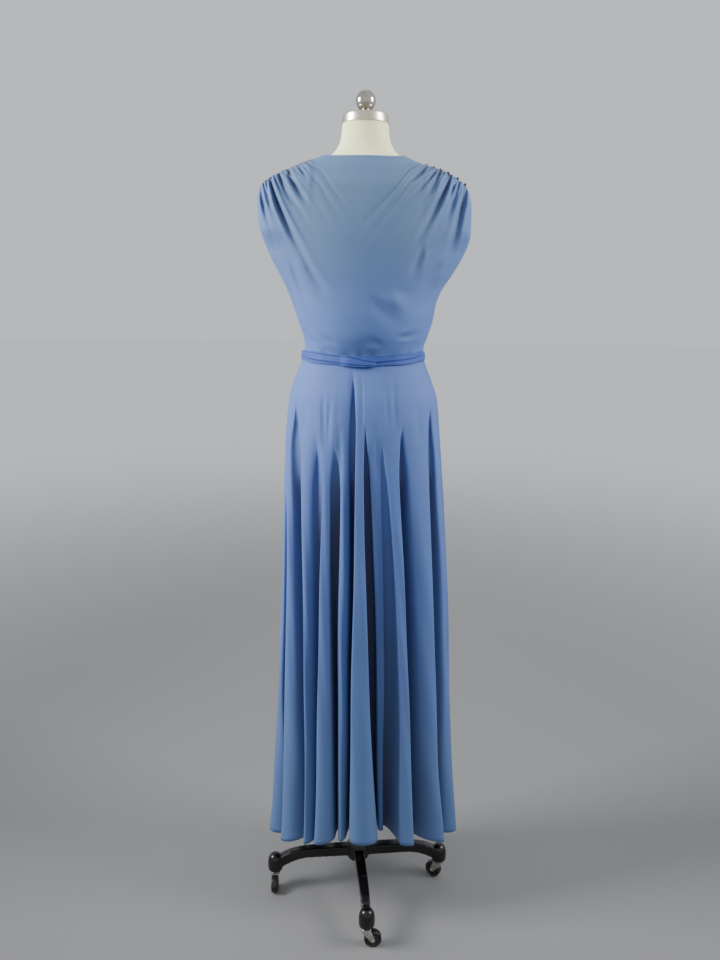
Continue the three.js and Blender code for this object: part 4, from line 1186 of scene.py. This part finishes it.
BODICE_HALVES = (
    # piece, solid, hand, rows, columns, neck height, flat length, flat area
    ("bodice_back_half", "bodice_back", 1, 132, 300, BACK_NECK, 0.46, 0.21),
    ("bodice_front_half", "bodice_front", -1, 116, 260, FRONT_NECK, 0.45, 0.2),
)
for piece, solid, hand, rows, columns, neck_height, flat_length, flat_area in BODICE_HALVES:
    points, sunk = bodice_half(hand, rows, columns, neck_height)
    sheet = cloth_grid(piece, points, sunk=sunk)
    settle(sheet, "form", crepe, solid, smooth_angle=180)

# Sash.  Two bands of the crepe, doubled and lightly creased along their length.  They are sewn
# into the side seams and cross at the centre back, the left one over the right.
SASH_RISE = (
    # way along, half height, middle height
    (0, 6.8, 1311),
    (0.15, 9.2, 1311),
    (0.45, 10.6, 1306),
    (0.8, 9.8, 1301),
    (1, 6.5, 1299),
)
SASH_THICKNESS, SASH_LIFT = 1.6, 0.7
SASH_CREASES = (
    # depth, radians across, radians along, lag, how the edges hold it
    (0.9, 4.2, 2.2, 1, 0.5),
    (0.5, 9, 5, 2, 1),
)
SASH_BANDS = (
    # piece, solid, hand, angle of its end, lift over the other band
    ("sash_left_band", "sash_left", 1, 101, 3.8),
    ("sash_right_band", "sash_right", -1, 98, 0.0),
)
sash_half, sash_middle = (by_height(SASH_RISE, column) for column in (1, 2))
SASH_BLUE = tint(60, 86, 156)
SASH_DEEP = tint(48, 70, 136)
sash_crepe, shader, place = new_finish("sash_crepe", CREPE_SHEEN)
lengths = place.node("ShaderNodeUVMap", {"uv_map": "lengths"})
pebble = lengths.speckle(900, 3, 0.62, (0.55, 1, 1))
feed(shader, "Base Color", place.speckle(14, 5, 0.6).between(0.3, 0.8).mixed(SASH_BLUE, SASH_DEEP))
feed(shader, "Roughness", 0.58 + place.speckle(30, 3) * 0.12)
feed(shader, "Normal", (pebble + lengths.speckle(140, 3) * 0.6).relief(0.22, 0.0004))
row = np.linspace(-1, 1, 25)[:, None]
way = np.linspace(0, 1, 130)[None, :]
for piece, solid, hand, end_degrees, lift in SASH_BANDS:
    degrees = 1 + (end_degrees - 1) * way
    angle = np.radians(degrees if hand > 0 else 180 - degrees)
    over = lift * soft_step((degrees - 68) / 10)
    creases = sum(
        depth * np.sin(row * across + way * along + lag * hand) * (1 - row * row) ** hold
        for depth, across, along, lag, hold in SASH_CREASES
    )
    pucker = 1.1 * np.sin(way * 150 + 3 * row) * np.exp(-way * 26)
    bulge = 0.8 * (1 - row * row) + over + creases * soft_step(way * 8) + pucker
    z = sash_middle(way) + row * sash_half(way) - hand * 3 * soft_step((degrees - 76) / 20)
    z = z + 0.7 * np.sin(way * 17 + hand) * row
    side = np.maximum(skirt_left(z), bodice_left(z) if hand > 0 else bodice_right(z))
    deepest = np.maximum(skirt_depth(z), bodice_back(z))
    out = SASH_THICKNESS + SASH_LIFT + bulge
    points = np.stack([(side + out) * np.cos(angle), (deepest + out) * np.sin(angle), z], axis=2)
    sheet = cloth_grid(piece, points, SASH_THICKNESS)
    settle(sheet, "form", sash_crepe, solid, smooth_angle=180)

# Shoulder buttons.  Six small dark glass balls on thread shanks, sewn along the seam of the
# wearer's right shoulder, where they close its opening.
BUTTON_RADIUS = 3.4
BUTTON_SETTLED = Vector((0.6, 1.8, -2.4))
BUTTON_TURNS = np.radians(np.linspace(-80, 85, 16))
SHANK_PROFILE = ((1.0, -5.0), (1.0, -3.5))
BUTTON_LEAN = Matrix.Rotation(math.radians(-22), 4, "Y")
BUTTON_DARK = tint(38, 46, 62)
BUTTON_PALE = tint(70, 80, 100)
glassy, shader, place = new_finish("dark_button", {"Coat Weight": 0.6, "Coat Roughness": 0.08})
swirl = place.speckle(300, 3).between(0.4, 0.7)
feed(shader, "Base Color", (swirl * 0.5).mixed(BUTTON_DARK, BUTTON_PALE))
feed(shader, "Roughness", 0.22 + swirl * 0.1)
feed(shader, "Normal", place.speckle(500, 2).relief(0.05, 0.0002))
ball_profile = [(BUTTON_RADIUS * math.cos(turn), BUTTON_RADIUS * math.sin(turn)) for turn in BUTTON_TURNS]
for number in range(1, 7):
    low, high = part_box(f"shoulder_button_{number}")
    centre = (low + high) / 2 + BUTTON_SETTLED * MM
    button = turned(f"ball_button_{number}", (*SHANK_PROFILE, *ball_profile), 24)
    button.data.transform(Matrix.Translation(centre) @ BUTTON_LEAN)
    settle(button, "form", glassy, f"shoulder_button_{number}", smooth_angle=50)
